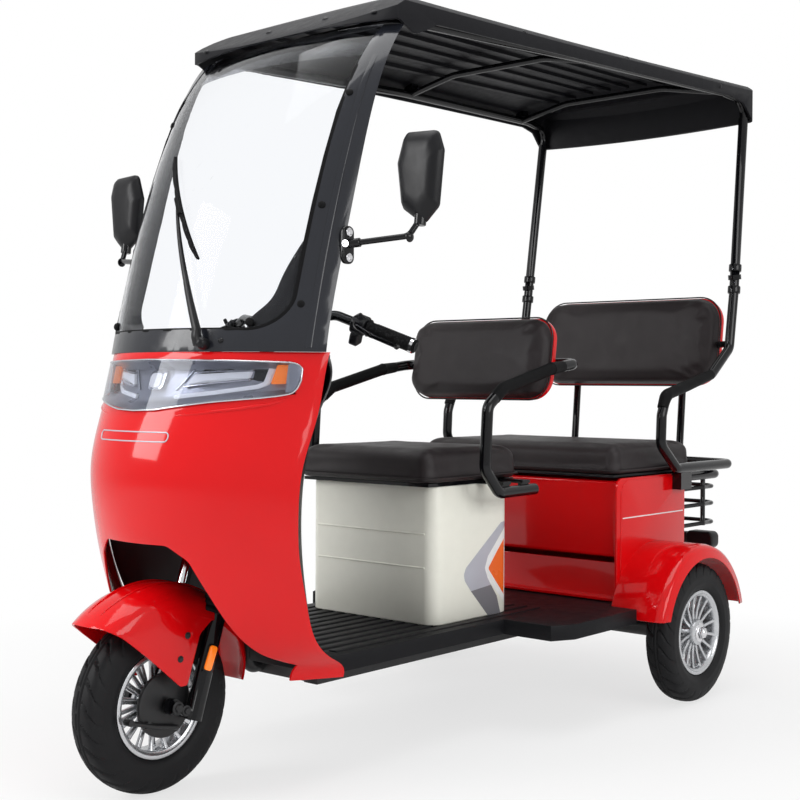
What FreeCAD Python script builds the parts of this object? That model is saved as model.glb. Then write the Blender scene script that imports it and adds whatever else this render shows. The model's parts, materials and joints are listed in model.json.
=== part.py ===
import FreeCAD, Part
import Sketcher
import math
import os
from types import SimpleNamespace

from FreeCAD import Placement, Rotation, Vector

# Electric leisure tricycle: one steered front wheel, two driven rear wheels, a driver's
# seat on a plastic barrel, a bench on a steel box, a windscreen and a roof.
# X points forward, Y to the vehicle's left and Z up. The floor is Z = 0 and X = 0 lies
# half way along the vehicle. All lengths are millimetres and all angles degrees.

SIZE_TABLE = (
    # name, value, meaning
    ("rear_axle_x", -580, "rear axle from the middle of the vehicle"),
    ("wheelbase", 1478, "front axle to rear axle"),
    ("rear_track", 895, "between the middles of the rear wheels"),
    ("tyre_radius", 187, "3.00-8 tyre, outside"),
    ("tyre_width", 80, "widest part of a tyre"),
    ("rim_radius", 114, "bead seat of the tyre"),
    ("rim_width", 56, "across the rim flanges"),
    ("rim_depth", 15, "thickness of the rim barrel"),
    ("hub_radius", 36, "hub of a wheel"),
    ("hub_length", 66, "hub of a wheel along its axle"),
    ("spoke_count", 16, "spokes of a wheel"),
    ("spoke_width", 9, "one spoke"),
    ("spoke_depth", 16, "one spoke along the axle"),
    ("axle_radius", 8, "wheel spindle"),
    ("running_fit", 0.08, "radial play of a bearing"),
    ("seat_gap", 0.3, "play between pieces that seat on each other"),
    ("moving_gap", 8, "play between pieces that move past each other"),
    ("rake", 22, "steering axis from the vertical"),
    ("steering_foot_x", 870, "steering axis at the height of the axle"),
    ("fork_half_width", 66, "middle of a fork leg from the centre"),
    ("fork_foot_setback", 38, "foot of a fork leg behind the steering axis"),
    ("fork_head_setback", 6, "upper end of a fork tube behind the steering axis"),
    ("fork_foot_drop", 14, "foot of a fork leg below the axle, along the steering axis"),
    ("fork_link_radius", 12, "link from a leg's foot forward to the axle"),
    ("fork_leg_radius", 19, "lower fork leg"),
    ("fork_tube_radius", 14, "upper fork tube"),
    ("fork_leg_length", 215, "lower leg above the axle"),
    ("fork_tube_length", 195, "upper tube above the lower leg"),
    ("fork_bridge_height", 26, "bridge that joins the fork tubes"),
    ("stem_radius", 16, "steering stem"),
    ("stem_length", 430, "stem above the fork bridge"),
    ("head_radius", 26, "steering head tube"),
    ("head_length", 150, "steering head tube"),
    ("fender_radius", 250, "crown of the front fender from the axle"),
    ("fender_half_width", 78, "front fender"),
    ("fender_wall", 4, "all three fenders"),
    ("rear_fender_radius", 238, "crown of a rear fender from the axle"),
    ("rear_fender_outer_y", 497, "outer side of a rear fender"),
    ("brake_plate_radius", 67, "front brake plate"),
    ("brake_plate_depth", 9, "front brake plate"),
    ("bar_radius", 11, "handlebar tube"),
    ("bar_half_width", 330, "handlebar end from the centre"),
    ("grip_radius", 17, "hand grip"),
    ("grip_length", 125, "hand grip"),
    ("floor_bottom", 237, "underside of the floor board"),
    ("floor_thickness", 37, "floor board without its ribs"),
    ("floor_rib_height", 3, "anti-slip ribs"),
    ("floor_front_x", 640, "front end of the floor board"),
    ("floor_half_width", 258, "narrow front part of the floor board"),
    ("floor_corner", 44, "cut-off front corner of the floor board, along the vehicle"),
    ("step_half_width", 428, "wide rear part of the floor board"),
    ("step_front_x", 12, "where the floor board widens"),
    ("step_rear_x", -336, "rear end of the wide part"),
    ("neck_x", 626, "neck tube behind the front wheel"),
    ("neck_radius", 17, "neck tube"),
    ("neck_notch_half", 20, "notch of the floor board round the neck tube"),
    ("rail_width", 40, "square tube of the frame, across"),
    ("rail_height", 36, "square tube of the frame, upright"),
    ("rail_half_track", 170, "frame rail from the centre"),
    ("barrel_front_x", 220, "driver's seat barrel"),
    ("barrel_length", 305, "driver's seat barrel"),
    ("barrel_width", 410, "driver's seat barrel"),
    ("barrel_height", 331, "driver's seat barrel"),
    ("barrel_wall", 5, "driver's seat barrel"),
    ("cushion_gap", 0.4, "play between a seat pan and what it lies on"),
    ("pan_height", 8, "board under a cushion"),
    ("front_cushion_length", 380, "driver's cushion"),
    ("front_cushion_width", 440, "driver's cushion"),
    ("front_cushion_front_x", 262, "front edge of the driver's cushion"),
    ("cushion_height", 78, "both cushions"),
    ("box_front_x", -384, "front edge of the box sides"),
    ("box_rear_x", -750, "back of the rear box"),
    ("box_half_width", 338, "rear box"),
    ("box_top", 604, "upper edge of the rear box"),
    ("box_wall", 8, "rear box"),
    ("box_panel_setback", 34, "front panels behind the box sides"),
    ("flap_bottom", 392, "lower edge of the upper front panel"),
    ("rear_cushion_length", 428, "bench cushion"),
    ("rear_cushion_front_x", -378, "front edge of the bench cushion"),
    ("backrest_depth", 48, "padding of a backrest"),
    ("backrest_shell_depth", 14, "plastic shell behind a backrest"),
    ("backrest_lean", 8, "backrests from the vertical"),
    ("frame_tube_radius", 14, "armrests and roof posts"),
)

OUTPUT_FOLDER = "parts"

doc = FreeCAD.newDocument("ElectricTricycle")
sheet = doc.addObject("Spreadsheet::Sheet", "Sizes")
for row, (alias, number, meaning) in enumerate(SIZE_TABLE, start=1):
    sheet.set(f"A{row}", alias)
    sheet.set(f"B{row}", str(number))
    sheet.set(f"C{row}", meaning)
    sheet.setAlias(f"B{row}", alias)
doc.recompute()
S = SimpleNamespace(**{alias: float(sheet.get(alias)) for alias, number, meaning in SIZE_TABLE})

NODES = []

FRONT_AXLE = Vector(S.rear_axle_x + S.wheelbase, 0, S.tyre_radius)
FLOOR_TOP = S.floor_bottom + S.floor_thickness + S.floor_rib_height
SIDES = (("left", 1), ("right", -1))


def node(label, shape):
    """Add a finished sub-part whose file is named after its label."""
    feature = doc.addObject("Part::Feature", label)
    feature.Label = label
    feature.Shape = shape
    feature.Placement = shape.Placement
    NODES.append(feature)
    return feature


def body_node(label):
    """Start a PartDesign body that becomes one sub-part."""
    body = doc.addObject("PartDesign::Body", label)
    body.Label = label
    NODES.append(body)
    return body


def origin_plane(body, role):
    """Return one of the three planes of a body's own origin."""
    return next(item for item in body.Origin.OriginFeatures if item.Role == role)


def add_sketch(body, label, role, offset=None):
    """Start a sketch on an origin plane, moved along its normal by an expression."""
    sketch = body.newObject("Sketcher::SketchObject", label)
    sketch.AttachmentSupport = [(origin_plane(body, role), "")]
    sketch.MapMode = "FlatFace"
    if offset is not None:
        sketch.setExpression("AttachmentOffset.Base.z", offset)
    return sketch


def draw_polygon(sketch, corners):
    """Draw a closed polygon, each corner held by two expressions of the sheet."""
    points = [Vector(*[float(sheet.evalExpression(text)) for text in corner], 0)
              for corner in corners]
    first = sketch.GeometryCount
    total = len(points)
    for index in range(total):
        sketch.addGeometry(Part.LineSegment(points[index], points[(index + 1) % total]), False)
    for index in range(total):
        following = first + (index + 1) % total
        sketch.addConstraint(Sketcher.Constraint("Coincident", first + index, 2, following, 1))
    for index, corner in enumerate(corners):
        for kind, text in zip(("DistanceX", "DistanceY"), corner):
            amount = float(sheet.evalExpression(text))
            number = sketch.addConstraint(
                Sketcher.Constraint(kind, -1, 1, first + index, 1, amount))
            sketch.setExpression(f"Constraints[{number}]", text)


def rectangle(low_x, low_y, high_x, high_y):
    """Corner expressions of an upright rectangle."""
    return ((low_x, low_y), (high_x, low_y), (high_x, high_y), (low_x, high_y))


def add_pad(body, label, sketch, length, reverse=False):
    """Pad a sketch by an expression."""
    pad = body.newObject("PartDesign::Pad", label)
    pad.Profile = sketch
    pad.setExpression("Length", length)
    pad.Reversed = reverse
    return pad


def tangent_arc(start, direction, end):
    """Arc from start, leaving it along direction, to end; all three lie in one plane."""
    chord = end - start
    plane_normal = direction.cross(chord)
    towards = plane_normal.cross(direction)
    towards.normalize()
    reach = chord.dot(chord) / (2 * towards.dot(chord))
    centre = start + towards * reach
    middle = (start - centre) + (end - centre)
    middle.normalize()
    return Part.Arc(start, centre + middle * abs(reach), end)


def bent_path(points, radius):
    """Straight runs joined by tangent arcs of one radius."""
    edges = []
    here = points[0]
    for before, corner, after in zip(points, points[1:], points[2:]):
        incoming = (corner - before).normalize()
        outgoing = (after - corner).normalize()
        turn = incoming.getAngle(outgoing)
        if turn < 0.002:
            continue
        cut = radius * math.tan(turn / 2)
        arc_start = corner - incoming * cut
        arc_end = corner + outgoing * cut
        edges.append(Part.LineSegment(here, arc_start).toShape())
        edges.append(tangent_arc(arc_start, incoming, arc_end).toShape())
        here = arc_end
    edges.append(Part.LineSegment(here, points[-1]).toShape())
    return Part.Wire(edges)


def bent_tube(points, tube_radius, bend_radius):
    """Round bar along straight runs and bends."""
    path = bent_path(points, bend_radius)
    start = (points[1] - points[0]).normalize()
    ring = Part.Wire(Part.makeCircle(tube_radius, points[0], start))
    bar = path.makePipeShell([ring], True, False)
    if bar.Volume < 0:
        bar.reverse()
    return bar


def rod(start, end, radius):
    """Round bar between two points."""
    along = end - start
    return Part.makeCylinder(radius, along.Length, start, along)


def block(low, high):
    """Box between two opposite corners."""
    return Part.makeBox(high.x - low.x, high.y - low.y, high.z - low.z, low)


def fused(solids):
    """One solid from solids that touch or overlap."""
    whole = solids[0]
    if len(solids) > 1:
        whole = whole.multiFuse(solids[1:])
    return whole.removeSplitter()


def mirrored(shape):
    """The same shape on the vehicle's other side."""
    return shape.mirror(Vector(0, 0, 0), Vector(0, 1, 0))


def on_both_sides(shape):
    """A left shape together with its right twin."""
    return Part.makeCompound([shape, mirrored(shape)])


def skin_arcs(height, nose, edge, corner_y):
    """Three tangent arcs, right to left, of one skin bowed in plan towards its nose."""
    share = 0.62
    drop = 0.335
    depth = nose - edge
    shoulder = Vector(nose - drop * depth, share * corner_y, height)
    other = Vector(shoulder.x, -shoulder.y, height)
    nose_arc = Part.Arc(other, Vector(nose, 0, height), shoulder)
    radial = (shoulder - nose_arc.toShape().Curve.Center).normalize()
    leaving = Vector(-radial.y, radial.x, 0)
    if leaving.y < 0:
        leaving = leaving * -1
    left_edge = tangent_arc(shoulder, leaving, Vector(edge, corner_y, height)).toShape()
    middle = left_edge.valueAt((left_edge.FirstParameter + left_edge.LastParameter) / 2)
    right_arc = Part.Arc(Vector(edge, -corner_y, height), Vector(middle.x, -middle.y, height),
                         other)
    return right_arc.toShape(), nose_arc.toShape(), left_edge


def shield_wire(height, front, edge, half_width, wall):
    """One level of a wrapped shield: an outer skin and an inner skin set in by the wall.
    A negative wall belongs to a shield that bows rearward."""
    inset = half_width - abs(wall)
    edges = list(skin_arcs(height, front, edge, half_width))
    edges.extend(skin_arcs(height, front - wall, edge, inset))
    for side in (1, -1):
        edges.append(Part.LineSegment(Vector(edge, side * half_width, height),
                                      Vector(edge, side * inset, height)).toShape())
    return Part.Wire(Part.sortEdges(edges)[0])


def shield(levels, wall):
    """Shell lofted through the levels of a wrapped shield."""
    wires = [shield_wire(height, front, edge, half_width, wall)
             for height, front, edge, half_width in levels]
    return Part.makeLoft(wires, True, False)


def prism(outline, direction):
    """Solid swept from a closed wire along a vector."""
    return Part.Face(outline).extrude(direction)


def turned_shell(profile, start, stop):
    """Solid that a profile of radius and sideways place leaves as it turns about the Y axis
    from one angle over the forward direction to another."""
    outline = Part.makePolygon([Vector(radius, across, 0) for radius, across in profile]
                               + [Vector(*profile[0], 0)])
    face = Part.Face(outline)
    face.rotate(Vector(0, 0, 0), Vector(0, 1, 0), -start)
    return face.revolve(Vector(0, 0, 0), Vector(0, 1, 0), start - stop)


def rounded_outline(corners, radii):
    """Closed wire through corners, each rounded by its own radius."""
    total = len(corners)
    starts = []
    ends = []
    for index, corner in enumerate(corners):
        incoming = (corner - corners[index - 1]).normalize()
        outgoing = (corners[(index + 1) % total] - corner).normalize()
        cut = radii[index] * math.tan(incoming.getAngle(outgoing) / 2)
        starts.append(corner - incoming * cut)
        ends.append(corner + outgoing * cut)
    edges = []
    for index in range(total):
        if radii[index] > 0:
            incoming = (corners[index] - corners[index - 1]).normalize()
            edges.append(tangent_arc(starts[index], incoming, ends[index]).toShape())
        following = (index + 1) % total
        edges.append(Part.LineSegment(ends[index], starts[following]).toShape())
    return Part.Wire(edges)


# Steering geometry

RAKE = math.radians(S.rake)
STEER_UP = Vector(-math.sin(RAKE), 0, math.cos(RAKE))
STEER_FOOT = Vector(S.steering_foot_x, 0, S.tyre_radius)


def along_steering(distance, side=0.0, ahead=0.0):
    """Point on the steering axis, moved sideways and square to the axis."""
    forward = Vector(math.cos(RAKE), 0, math.sin(RAKE))
    return STEER_FOOT + STEER_UP * distance + forward * ahead + Vector(0, side, 0)


def leg_point(distance, side):
    """Point on a fork leg's line, which leans a little against the steering axis."""
    foot_at = AXLE_ALONG - S.fork_foot_drop
    share = (distance - foot_at) / (BRIDGE_LOW - foot_at)
    setback = S.fork_foot_setback + (S.fork_head_setback - S.fork_foot_setback) * share
    return along_steering(distance, side * S.fork_half_width, -setback)


AXLE_AHEAD = (FRONT_AXLE - STEER_FOOT).dot(Vector(math.cos(RAKE), 0, math.sin(RAKE)))
AXLE_ALONG = (FRONT_AXLE - STEER_FOOT).dot(STEER_UP)
LEG_TOP = AXLE_ALONG + S.fork_leg_length
BRIDGE_LOW = LEG_TOP + S.fork_tube_length
BRIDGE_HIGH = BRIDGE_LOW + S.fork_bridge_height
STEM_TOP = BRIDGE_HIGH + S.stem_length


# Wheels

TYRE_HALF_PROFILE = (
    # share of the height over the bead, share of the half width, crown to bead
    (1.0, 0.36), (0.91, 0.74), (0.70, 0.95), (0.36, 1.0), (0.0, 0.7),
)


def tyre_shape():
    """Tyre about the Y axis at the origin: nine bands round the outside and the bead seat."""
    height = S.tyre_radius - S.rim_radius
    half = [(S.rim_radius + height * up, S.tyre_width / 2 * across)
            for up, across in TYRE_HALF_PROFILE]
    other = [(radius, -across) for radius, across in reversed(half)]
    return turned_shell(half + other, 0, 360)


def rim_shape():
    """Cast wheel about the Y axis: barrel with two flanges, spokes and a bored hub."""
    outer = S.rim_radius - S.seat_gap
    half = S.rim_width / 2
    lip = half + 3
    points = (
        (outer - S.rim_depth + 6, -lip), (outer, -lip), (outer, lip),
        (outer - S.rim_depth + 6, lip), (outer - S.rim_depth, lip - 12),
        (outer - S.rim_depth, 12 - lip),
    )
    profile = Part.makePolygon([Vector(a, b, 0) for a, b in points + points[:1]])
    barrel = Part.Face(profile).revolve(Vector(0, 0, 0), Vector(0, 1, 0), 360)
    hub = Part.makeCylinder(S.hub_radius, S.hub_length, Vector(0, -S.hub_length / 2, 0),
                            Vector(0, 1, 0))
    reach = outer - S.rim_depth + 2
    spoke = Part.makeBox(S.spoke_width, S.spoke_depth, reach - S.hub_radius + 6,
                         Vector(-S.spoke_width / 2, 4, S.hub_radius - 6))
    count = int(S.spoke_count)
    spokes = []
    for index in range(count):
        turned = spoke.copy()
        turned.rotate(Vector(0, 0, 0), Vector(0, 1, 0), index * 360 / count)
        spokes.append(turned)
    wheel = fused([barrel, hub] + spokes)
    bore = Part.makeCylinder(S.axle_radius + S.running_fit, S.hub_length + 2,
                             Vector(0, -S.hub_length / 2 - 1, 0), Vector(0, 1, 0))
    return wheel.cut(bore)


WHEELS = (
    # name, middle of the wheel, side that shows the spokes
    ("front", FRONT_AXLE, 1),
    ("rear_left", Vector(S.rear_axle_x, S.rear_track / 2, S.tyre_radius), 1),
    ("rear_right", Vector(S.rear_axle_x, -S.rear_track / 2, S.tyre_radius), -1),
)
for wheel_name, middle, facing in WHEELS:
    for piece, shape in (("tyre", tyre_shape()), ("rim", rim_shape())):
        if facing < 0:
            shape = mirrored(shape)
        shape.translate(middle)
        node(f"{wheel_name}_{piece}", shape)


# Steered front end

def fork_shape():
    """Lower legs with their leading links and the spindle, and the bridge with its stem."""
    across = Vector(0, S.fork_leg_radius - 11, 0)
    solids = [rod(FRONT_AXLE - Vector(0, S.fork_half_width, 0),
                  FRONT_AXLE + Vector(0, S.fork_half_width, 0), S.axle_radius)]
    for name, side in SIDES:
        boss = FRONT_AXLE + Vector(0, side * S.fork_half_width, 0)
        solids.append(rod(leg_point(AXLE_ALONG - S.fork_foot_drop, side),
                          leg_point(LEG_TOP, side), S.fork_leg_radius))
        solids.append(rod(leg_point(AXLE_ALONG, side), boss, S.fork_link_radius))
        solids.append(rod(boss - across, boss + across, S.fork_link_radius + 5))
    legs = fused(solids)
    reach = S.fork_half_width + S.fork_tube_radius + 8
    bridge = Part.makeBox(2 * BRIDGE_HALF, 2 * reach, S.fork_bridge_height,
                          Vector(-BRIDGE_HALF, -reach, 0))
    bridge.rotate(Vector(0, 0, 0), Vector(0, 1, 0), -S.rake)
    bridge.translate(along_steering(BRIDGE_LOW))
    stem = rod(along_steering(BRIDGE_LOW + 4), along_steering(STEM_TOP), S.stem_radius)
    crown = fused([bridge, stem])
    return Part.makeCompound([legs, crown])


BRIDGE_HALF = 23.0
fork = fork_shape()
node("fork", fork)

fork_tubes = [rod(leg_point(LEG_TOP, side), leg_point(BRIDGE_LOW + 4, side),
                  S.fork_tube_radius).cut(fork) for name, side in SIDES]
node("fork_tubes", Part.makeCompound(fork_tubes))

FENDER_PROFILE = (
    # drop below the crown, sideways place, from the middle to the side wall
    (0, 0), (2, 30), (10, 54), (22, 68), (36, 75), (54, 78),
)
FENDER_FRONT_ANGLE = 40.0
FENDER_JOIN_ANGLE = 135.0
FENDER_REAR_ANGLE = 197.0
FENDER_REAR_RADIUS = 160.0
FENDER_REAR_DEPTH = 62.0
FENDER_EAR_DEPTH = 208.0
FENDER_EDGE = (
    # x, z from the front tip round both sides' ears, past the fork leg, to the rear tip
    (1110, 372), (1062, 366), (1031, 347), (968, 298), (886, 228), (868, 228),
    (834, 330), (800, 356), (768, 338), (722, 300), (700, 250), (698, 196), (640, 180),
)


def fender_profile(radius, depth):
    """Closed profile of a fender's wall from one side wall over the crown to the other."""
    half = [(radius - drop, across) for drop, across in FENDER_PROFILE]
    half.append((radius - depth, S.fender_half_width))
    inner = [(place - S.fender_wall, across) for place, across in half[:-1]]
    inner = [(place, across - S.fender_wall * across / S.fender_half_width)
             for place, across in inner]
    inner.append((radius - depth, S.fender_half_width - S.fender_wall))
    right = [(place, -across) for place, across in reversed(half[1:])]
    right_inner = [(place, -across) for place, across in reversed(inner[1:])]
    return right + half + inner[:0:-1] + [inner[0]] + right_inner[::-1]


def front_fender_shape():
    """Fender over the front wheel: a crown with side walls, cut to the ears' outline and
    notched for the fork legs, and a rear part of a smaller radius that curls under."""
    front = turned_shell(fender_profile(S.fender_radius, FENDER_EAR_DEPTH),
                         FENDER_FRONT_ANGLE, FENDER_JOIN_ANGLE)
    rear = turned_shell(fender_profile(FENDER_REAR_RADIUS, FENDER_REAR_DEPTH),
                        FENDER_JOIN_ANGLE, FENDER_REAR_ANGLE)
    join = math.radians(FENDER_JOIN_ANGLE)
    shift = S.fender_radius - FENDER_REAR_RADIUS
    rear.translate(Vector(math.cos(join), 0, math.sin(join)) * shift)
    shell = fused([front, rear])
    shell.translate(FRONT_AXLE)
    wide = 2 * S.fender_half_width
    edge = [Vector(x, -wide, z) for x, z in FENDER_EDGE]
    edge.extend((Vector(640, -wide, 40), Vector(1110, -wide, 40)))
    radii = [0, 10, 60, 200, 12, 8, 20, 12, 60, 60, 40, 0, 0, 0, 0]
    shell = shell.cut(prism(rounded_outline(edge, radii), Vector(0, 2 * wide, 0)))
    for name, side in SIDES:
        shell = shell.cut(rod(leg_point(AXLE_ALONG, side), leg_point(LEG_TOP + S.seat_gap, side),
                              S.fork_leg_radius + S.seat_gap))
        shell = shell.cut(rod(leg_point(LEG_TOP, side), leg_point(BRIDGE_LOW, side),
                              S.fork_tube_radius + S.seat_gap))
    return shell


node("front_fender", front_fender_shape())


def brake_plate_shape():
    """Plate beside the front hub with its operating arm below the axle."""
    inner_face = FRONT_AXLE + Vector(0, S.hub_length / 2 + 1, 0)
    depth = Vector(0, S.brake_plate_depth, 0)
    plate = rod(inner_face, inner_face + depth, S.brake_plate_radius)
    dome = Part.makeCone(S.brake_plate_radius - 10, 26, 4, inner_face + depth, Vector(0, 1, 0))
    arm = bent_tube([Vector(994, 51, 169), Vector(932, 51, 150), Vector(872, 51, 138)], 5, 30)
    pin = rod(Vector(994, S.hub_length / 2 + 4, 169), Vector(994, 57, 169), 7)
    foot = rod(Vector(948, S.hub_length / 2 + 4, 155), Vector(948, 53, 155), 8)
    spindle = rod(FRONT_AXLE, FRONT_AXLE + Vector(0, S.fork_half_width, 0),
                  S.axle_radius + S.seat_gap)
    return fused([plate, dome, arm, pin, foot]).cut(spindle)


node("front_brake_plate", brake_plate_shape())


HANDLEBAR_ROUTE = (
    # place from the clamp on the stem to the left grip's end: x, y, z
    (-12, 80, 30), (-52, 150, 38), (-115, S.bar_half_width, -34),
)
BAR_BEND = 40.0
CLAMP_DROP = 14.0


def handlebar_points(side):
    """Route of one half of the handlebar, from beside the stem to the grip's end."""
    clamp = along_steering(STEM_TOP - CLAMP_DROP)
    return [clamp + Vector(x, side * y, z) for x, y, z in HANDLEBAR_ROUTE]


def handlebar_shape():
    """One bent tube, left and right alike, with its clamp on the stem."""
    left, right = handlebar_points(1), handlebar_points(-1)
    tube = bent_tube(right[::-1] + left, S.bar_radius, BAR_BEND)
    middle = (left[0] + right[0]) * 0.5
    clamp = block(middle - Vector(26, 30, 26), middle + Vector(26, 30, 18))
    stem = rod(along_steering(STEM_TOP - 60), along_steering(STEM_TOP + 40), S.stem_radius + 0.2)
    return fused([tube, clamp]).cut(stem)


node("handlebar", handlebar_shape())


def control_shapes(side):
    """Grip of one side, and its switch box with the brake lever in front."""
    beside, bend, end = handlebar_points(side)
    along = (end - bend).normalize()
    bore = rod(bend, end + along * S.seat_gap, S.bar_radius + S.seat_gap)
    grip = rod(end - along * S.grip_length, end + along * 6, S.grip_radius)
    centre = end - along * (S.grip_length + 22)
    switch = rod(centre - along * 20, centre + along * 20, 21)
    pivot = centre + Vector(36, 0, -4)
    arm = rod(centre + Vector(0, 0, -4), pivot, 9)
    lever = bent_tube([pivot, pivot + along * 40 + Vector(14, 0, -4),
                       pivot + along * 150 + Vector(6, 0, -6)], 5.5, 20)
    return [grip.cut(bore), fused([switch, arm, lever]).cut(bore)]


node("handlebar_controls", Part.makeCompound(control_shapes(1) + control_shapes(-1)))


# Frame under the floor

HEAD_LOW = BRIDGE_HIGH + 2
HEAD_HIGH = HEAD_LOW + S.head_length
FRAME_TOP = S.floor_bottom
FRAME_LOW = FRAME_TOP - S.rail_height
REAR_FRAME_TOP = FLOOR_TOP
RAIL_REAR_X = S.box_rear_x - 10
RAIL_KICK_X = S.step_rear_x - 80


def frame_shape():
    """Rails under the floor, stepped up over the rear axle, with cross members and neck."""
    solids = []
    for name, side in SIDES:
        middle = side * S.rail_half_track
        low_y, high_y = middle - S.rail_width / 2, middle + S.rail_width / 2
        solids.append(block(Vector(RAIL_KICK_X - 20, low_y, FRAME_LOW),
                            Vector(600, high_y, FRAME_TOP)))
        solids.append(block(Vector(RAIL_REAR_X, low_y, FRAME_TOP),
                            Vector(RAIL_KICK_X, high_y, REAR_FRAME_TOP)))
    inside = S.rail_half_track
    for place, low, high in (
        (575, FRAME_LOW, FRAME_TOP), (160, FRAME_LOW, FRAME_TOP),
        (-80, FRAME_LOW, FRAME_TOP), (RAIL_KICK_X - 10, FRAME_LOW, FRAME_TOP),
        (RAIL_REAR_X + 20, FRAME_TOP, REAR_FRAME_TOP),
    ):
        solids.append(block(Vector(place - 18, -inside, low), Vector(place + 18, inside, high)))
    neck_top = along_steering(HEAD_LOW + 60)
    neck = bent_tube([Vector(560, 0, FRAME_LOW + 18), Vector(S.neck_x, 0, FRAME_LOW + 18),
                      Vector(S.neck_x, 0, 470), neck_top], S.neck_radius, 20)
    solids.append(neck)
    head = rod(along_steering(HEAD_LOW), along_steering(HEAD_HIGH), S.head_radius)
    solids.append(head)
    frame = fused(solids)
    return frame.cut(rod(along_steering(HEAD_LOW - 5), along_steering(HEAD_HIGH + 5),
                         S.stem_radius + S.running_fit))


node("main_frame", frame_shape())


def rear_axle_shape():
    """Axle housing with differential, motor, brake drums and wheel spindles."""
    middle = Vector(S.rear_axle_x, 0, S.tyre_radius)
    hub_face = S.rear_track / 2 - S.hub_length / 2
    tube = rod(middle - Vector(0, hub_face - 42, 0), middle + Vector(0, hub_face - 42, 0), 28)
    drive = Part.makeSphere(76, middle + Vector(0, 40, 0))
    motor = rod(middle + Vector(0, 30, 0), middle + Vector(0, -150, 0), 68)
    solids = [tube, drive, motor]
    for name, side in SIDES:
        drum_in = middle + Vector(0, side * (hub_face - 44), 0)
        drum_out = middle + Vector(0, side * (hub_face - 1), 0)
        solids.append(rod(drum_in, drum_out, 62))
        solids.append(rod(drum_out, middle + Vector(0, side * (hub_face + S.hub_length + 14), 0),
                          S.axle_radius))
    return fused(solids)


node("rear_axle", rear_axle_shape())


def leaf_spring_shape():
    """One spring of three curved leaves on the axle tube, hung from two brackets."""
    width = 44
    low = S.tyre_radius + 28 + S.seat_gap
    leaves = []
    for reach, lift in ((150, 0), (110, 7), (66, 14)):
        depth = 7.0
        rise = 30.0 * (reach / 150.0) ** 2
        bottom = low + 14 - lift
        lower = Part.Arc(Vector(-reach, 0, bottom + rise), Vector(0, 0, bottom),
                         Vector(reach, 0, bottom + rise))
        upper = Part.Arc(Vector(-reach, 0, bottom + rise + depth), Vector(0, 0, bottom + depth),
                         Vector(reach, 0, bottom + rise + depth))
        wire = Part.Wire([lower.toShape(),
                          Part.LineSegment(Vector(reach, 0, bottom + rise),
                                           Vector(reach, 0, bottom + rise + depth)).toShape(),
                          upper.toShape(),
                          Part.LineSegment(Vector(-reach, 0, bottom + rise + depth),
                                           Vector(-reach, 0, bottom + rise)).toShape()])
        leaves.append(Part.Face(wire).extrude(Vector(0, width, 0)))
    for end in (-1, 1):
        leaves.append(block(Vector(end * 146 - 14, 0, low + 14 + 27),
                            Vector(end * 146 + 14, width, FLOOR_TOP)))
    spring = fused(leaves)
    spring.translate(Vector(S.rear_axle_x, 252 - width / 2, 0))
    return spring


node("leaf_springs", on_both_sides(leaf_spring_shape()))


# Floor board

floor_board = body_node("floor_board")
floor_board.setExpression("Placement.Base.z", "Sizes.floor_bottom")
outline = add_sketch(floor_board, "floor_outline", "XY_Plane")
draw_polygon(outline, (
    ("Sizes.floor_front_x - Sizes.floor_corner", "-Sizes.floor_half_width"),
    ("Sizes.floor_front_x", "-Sizes.floor_half_width + Sizes.floor_corner / 2"),
    ("Sizes.floor_front_x", "-Sizes.neck_notch_half"),
    ("Sizes.neck_x - Sizes.neck_notch_half - 2", "-Sizes.neck_notch_half"),
    ("Sizes.neck_x - Sizes.neck_notch_half - 2", "Sizes.neck_notch_half"),
    ("Sizes.floor_front_x", "Sizes.neck_notch_half"),
    ("Sizes.floor_front_x", "Sizes.floor_half_width - Sizes.floor_corner / 2"),
    ("Sizes.floor_front_x - Sizes.floor_corner", "Sizes.floor_half_width"),
    ("Sizes.step_front_x", "Sizes.floor_half_width"),
    ("Sizes.step_front_x", "Sizes.step_half_width - 30"),
    ("Sizes.step_front_x - 60", "Sizes.step_half_width"),
    ("Sizes.step_rear_x", "Sizes.step_half_width"),
    ("Sizes.step_rear_x", "Sizes.box_half_width"),
    ("Sizes.box_front_x - Sizes.box_panel_setback + 2", "Sizes.box_half_width"),
    ("Sizes.box_front_x - Sizes.box_panel_setback + 2", "-Sizes.box_half_width"),
    ("Sizes.step_rear_x", "-Sizes.box_half_width"),
    ("Sizes.step_rear_x", "-Sizes.step_half_width"),
    ("Sizes.step_front_x - 60", "-Sizes.step_half_width"),
    ("Sizes.step_front_x", "-Sizes.step_half_width + 30"),
    ("Sizes.step_front_x", "-Sizes.floor_half_width"),
))
add_pad(floor_board, "floor_slab", outline, "Sizes.floor_thickness")
rib_sketch = add_sketch(floor_board, "rib_outline", "XY_Plane", "Sizes.floor_thickness")
draw_polygon(rib_sketch, rectangle("Sizes.barrel_front_x - Sizes.barrel_length - 100", "-231",
                                   "Sizes.floor_front_x - 56", "-209"))
rib = add_pad(floor_board, "rib", rib_sketch, "Sizes.floor_rib_height")
ribs = floor_board.newObject("PartDesign::LinearPattern", "ribs")
ribs.Originals = [rib]
ribs.Direction = (rib_sketch, ["V_Axis"])
ribs.Length = 440
ribs.Occurrences = 12
floor_board.Tip = ribs


# Driver's seat

BARREL_REAR_X = S.barrel_front_x - S.barrel_length
BARREL_TOP = FLOOR_TOP + S.barrel_height

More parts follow.
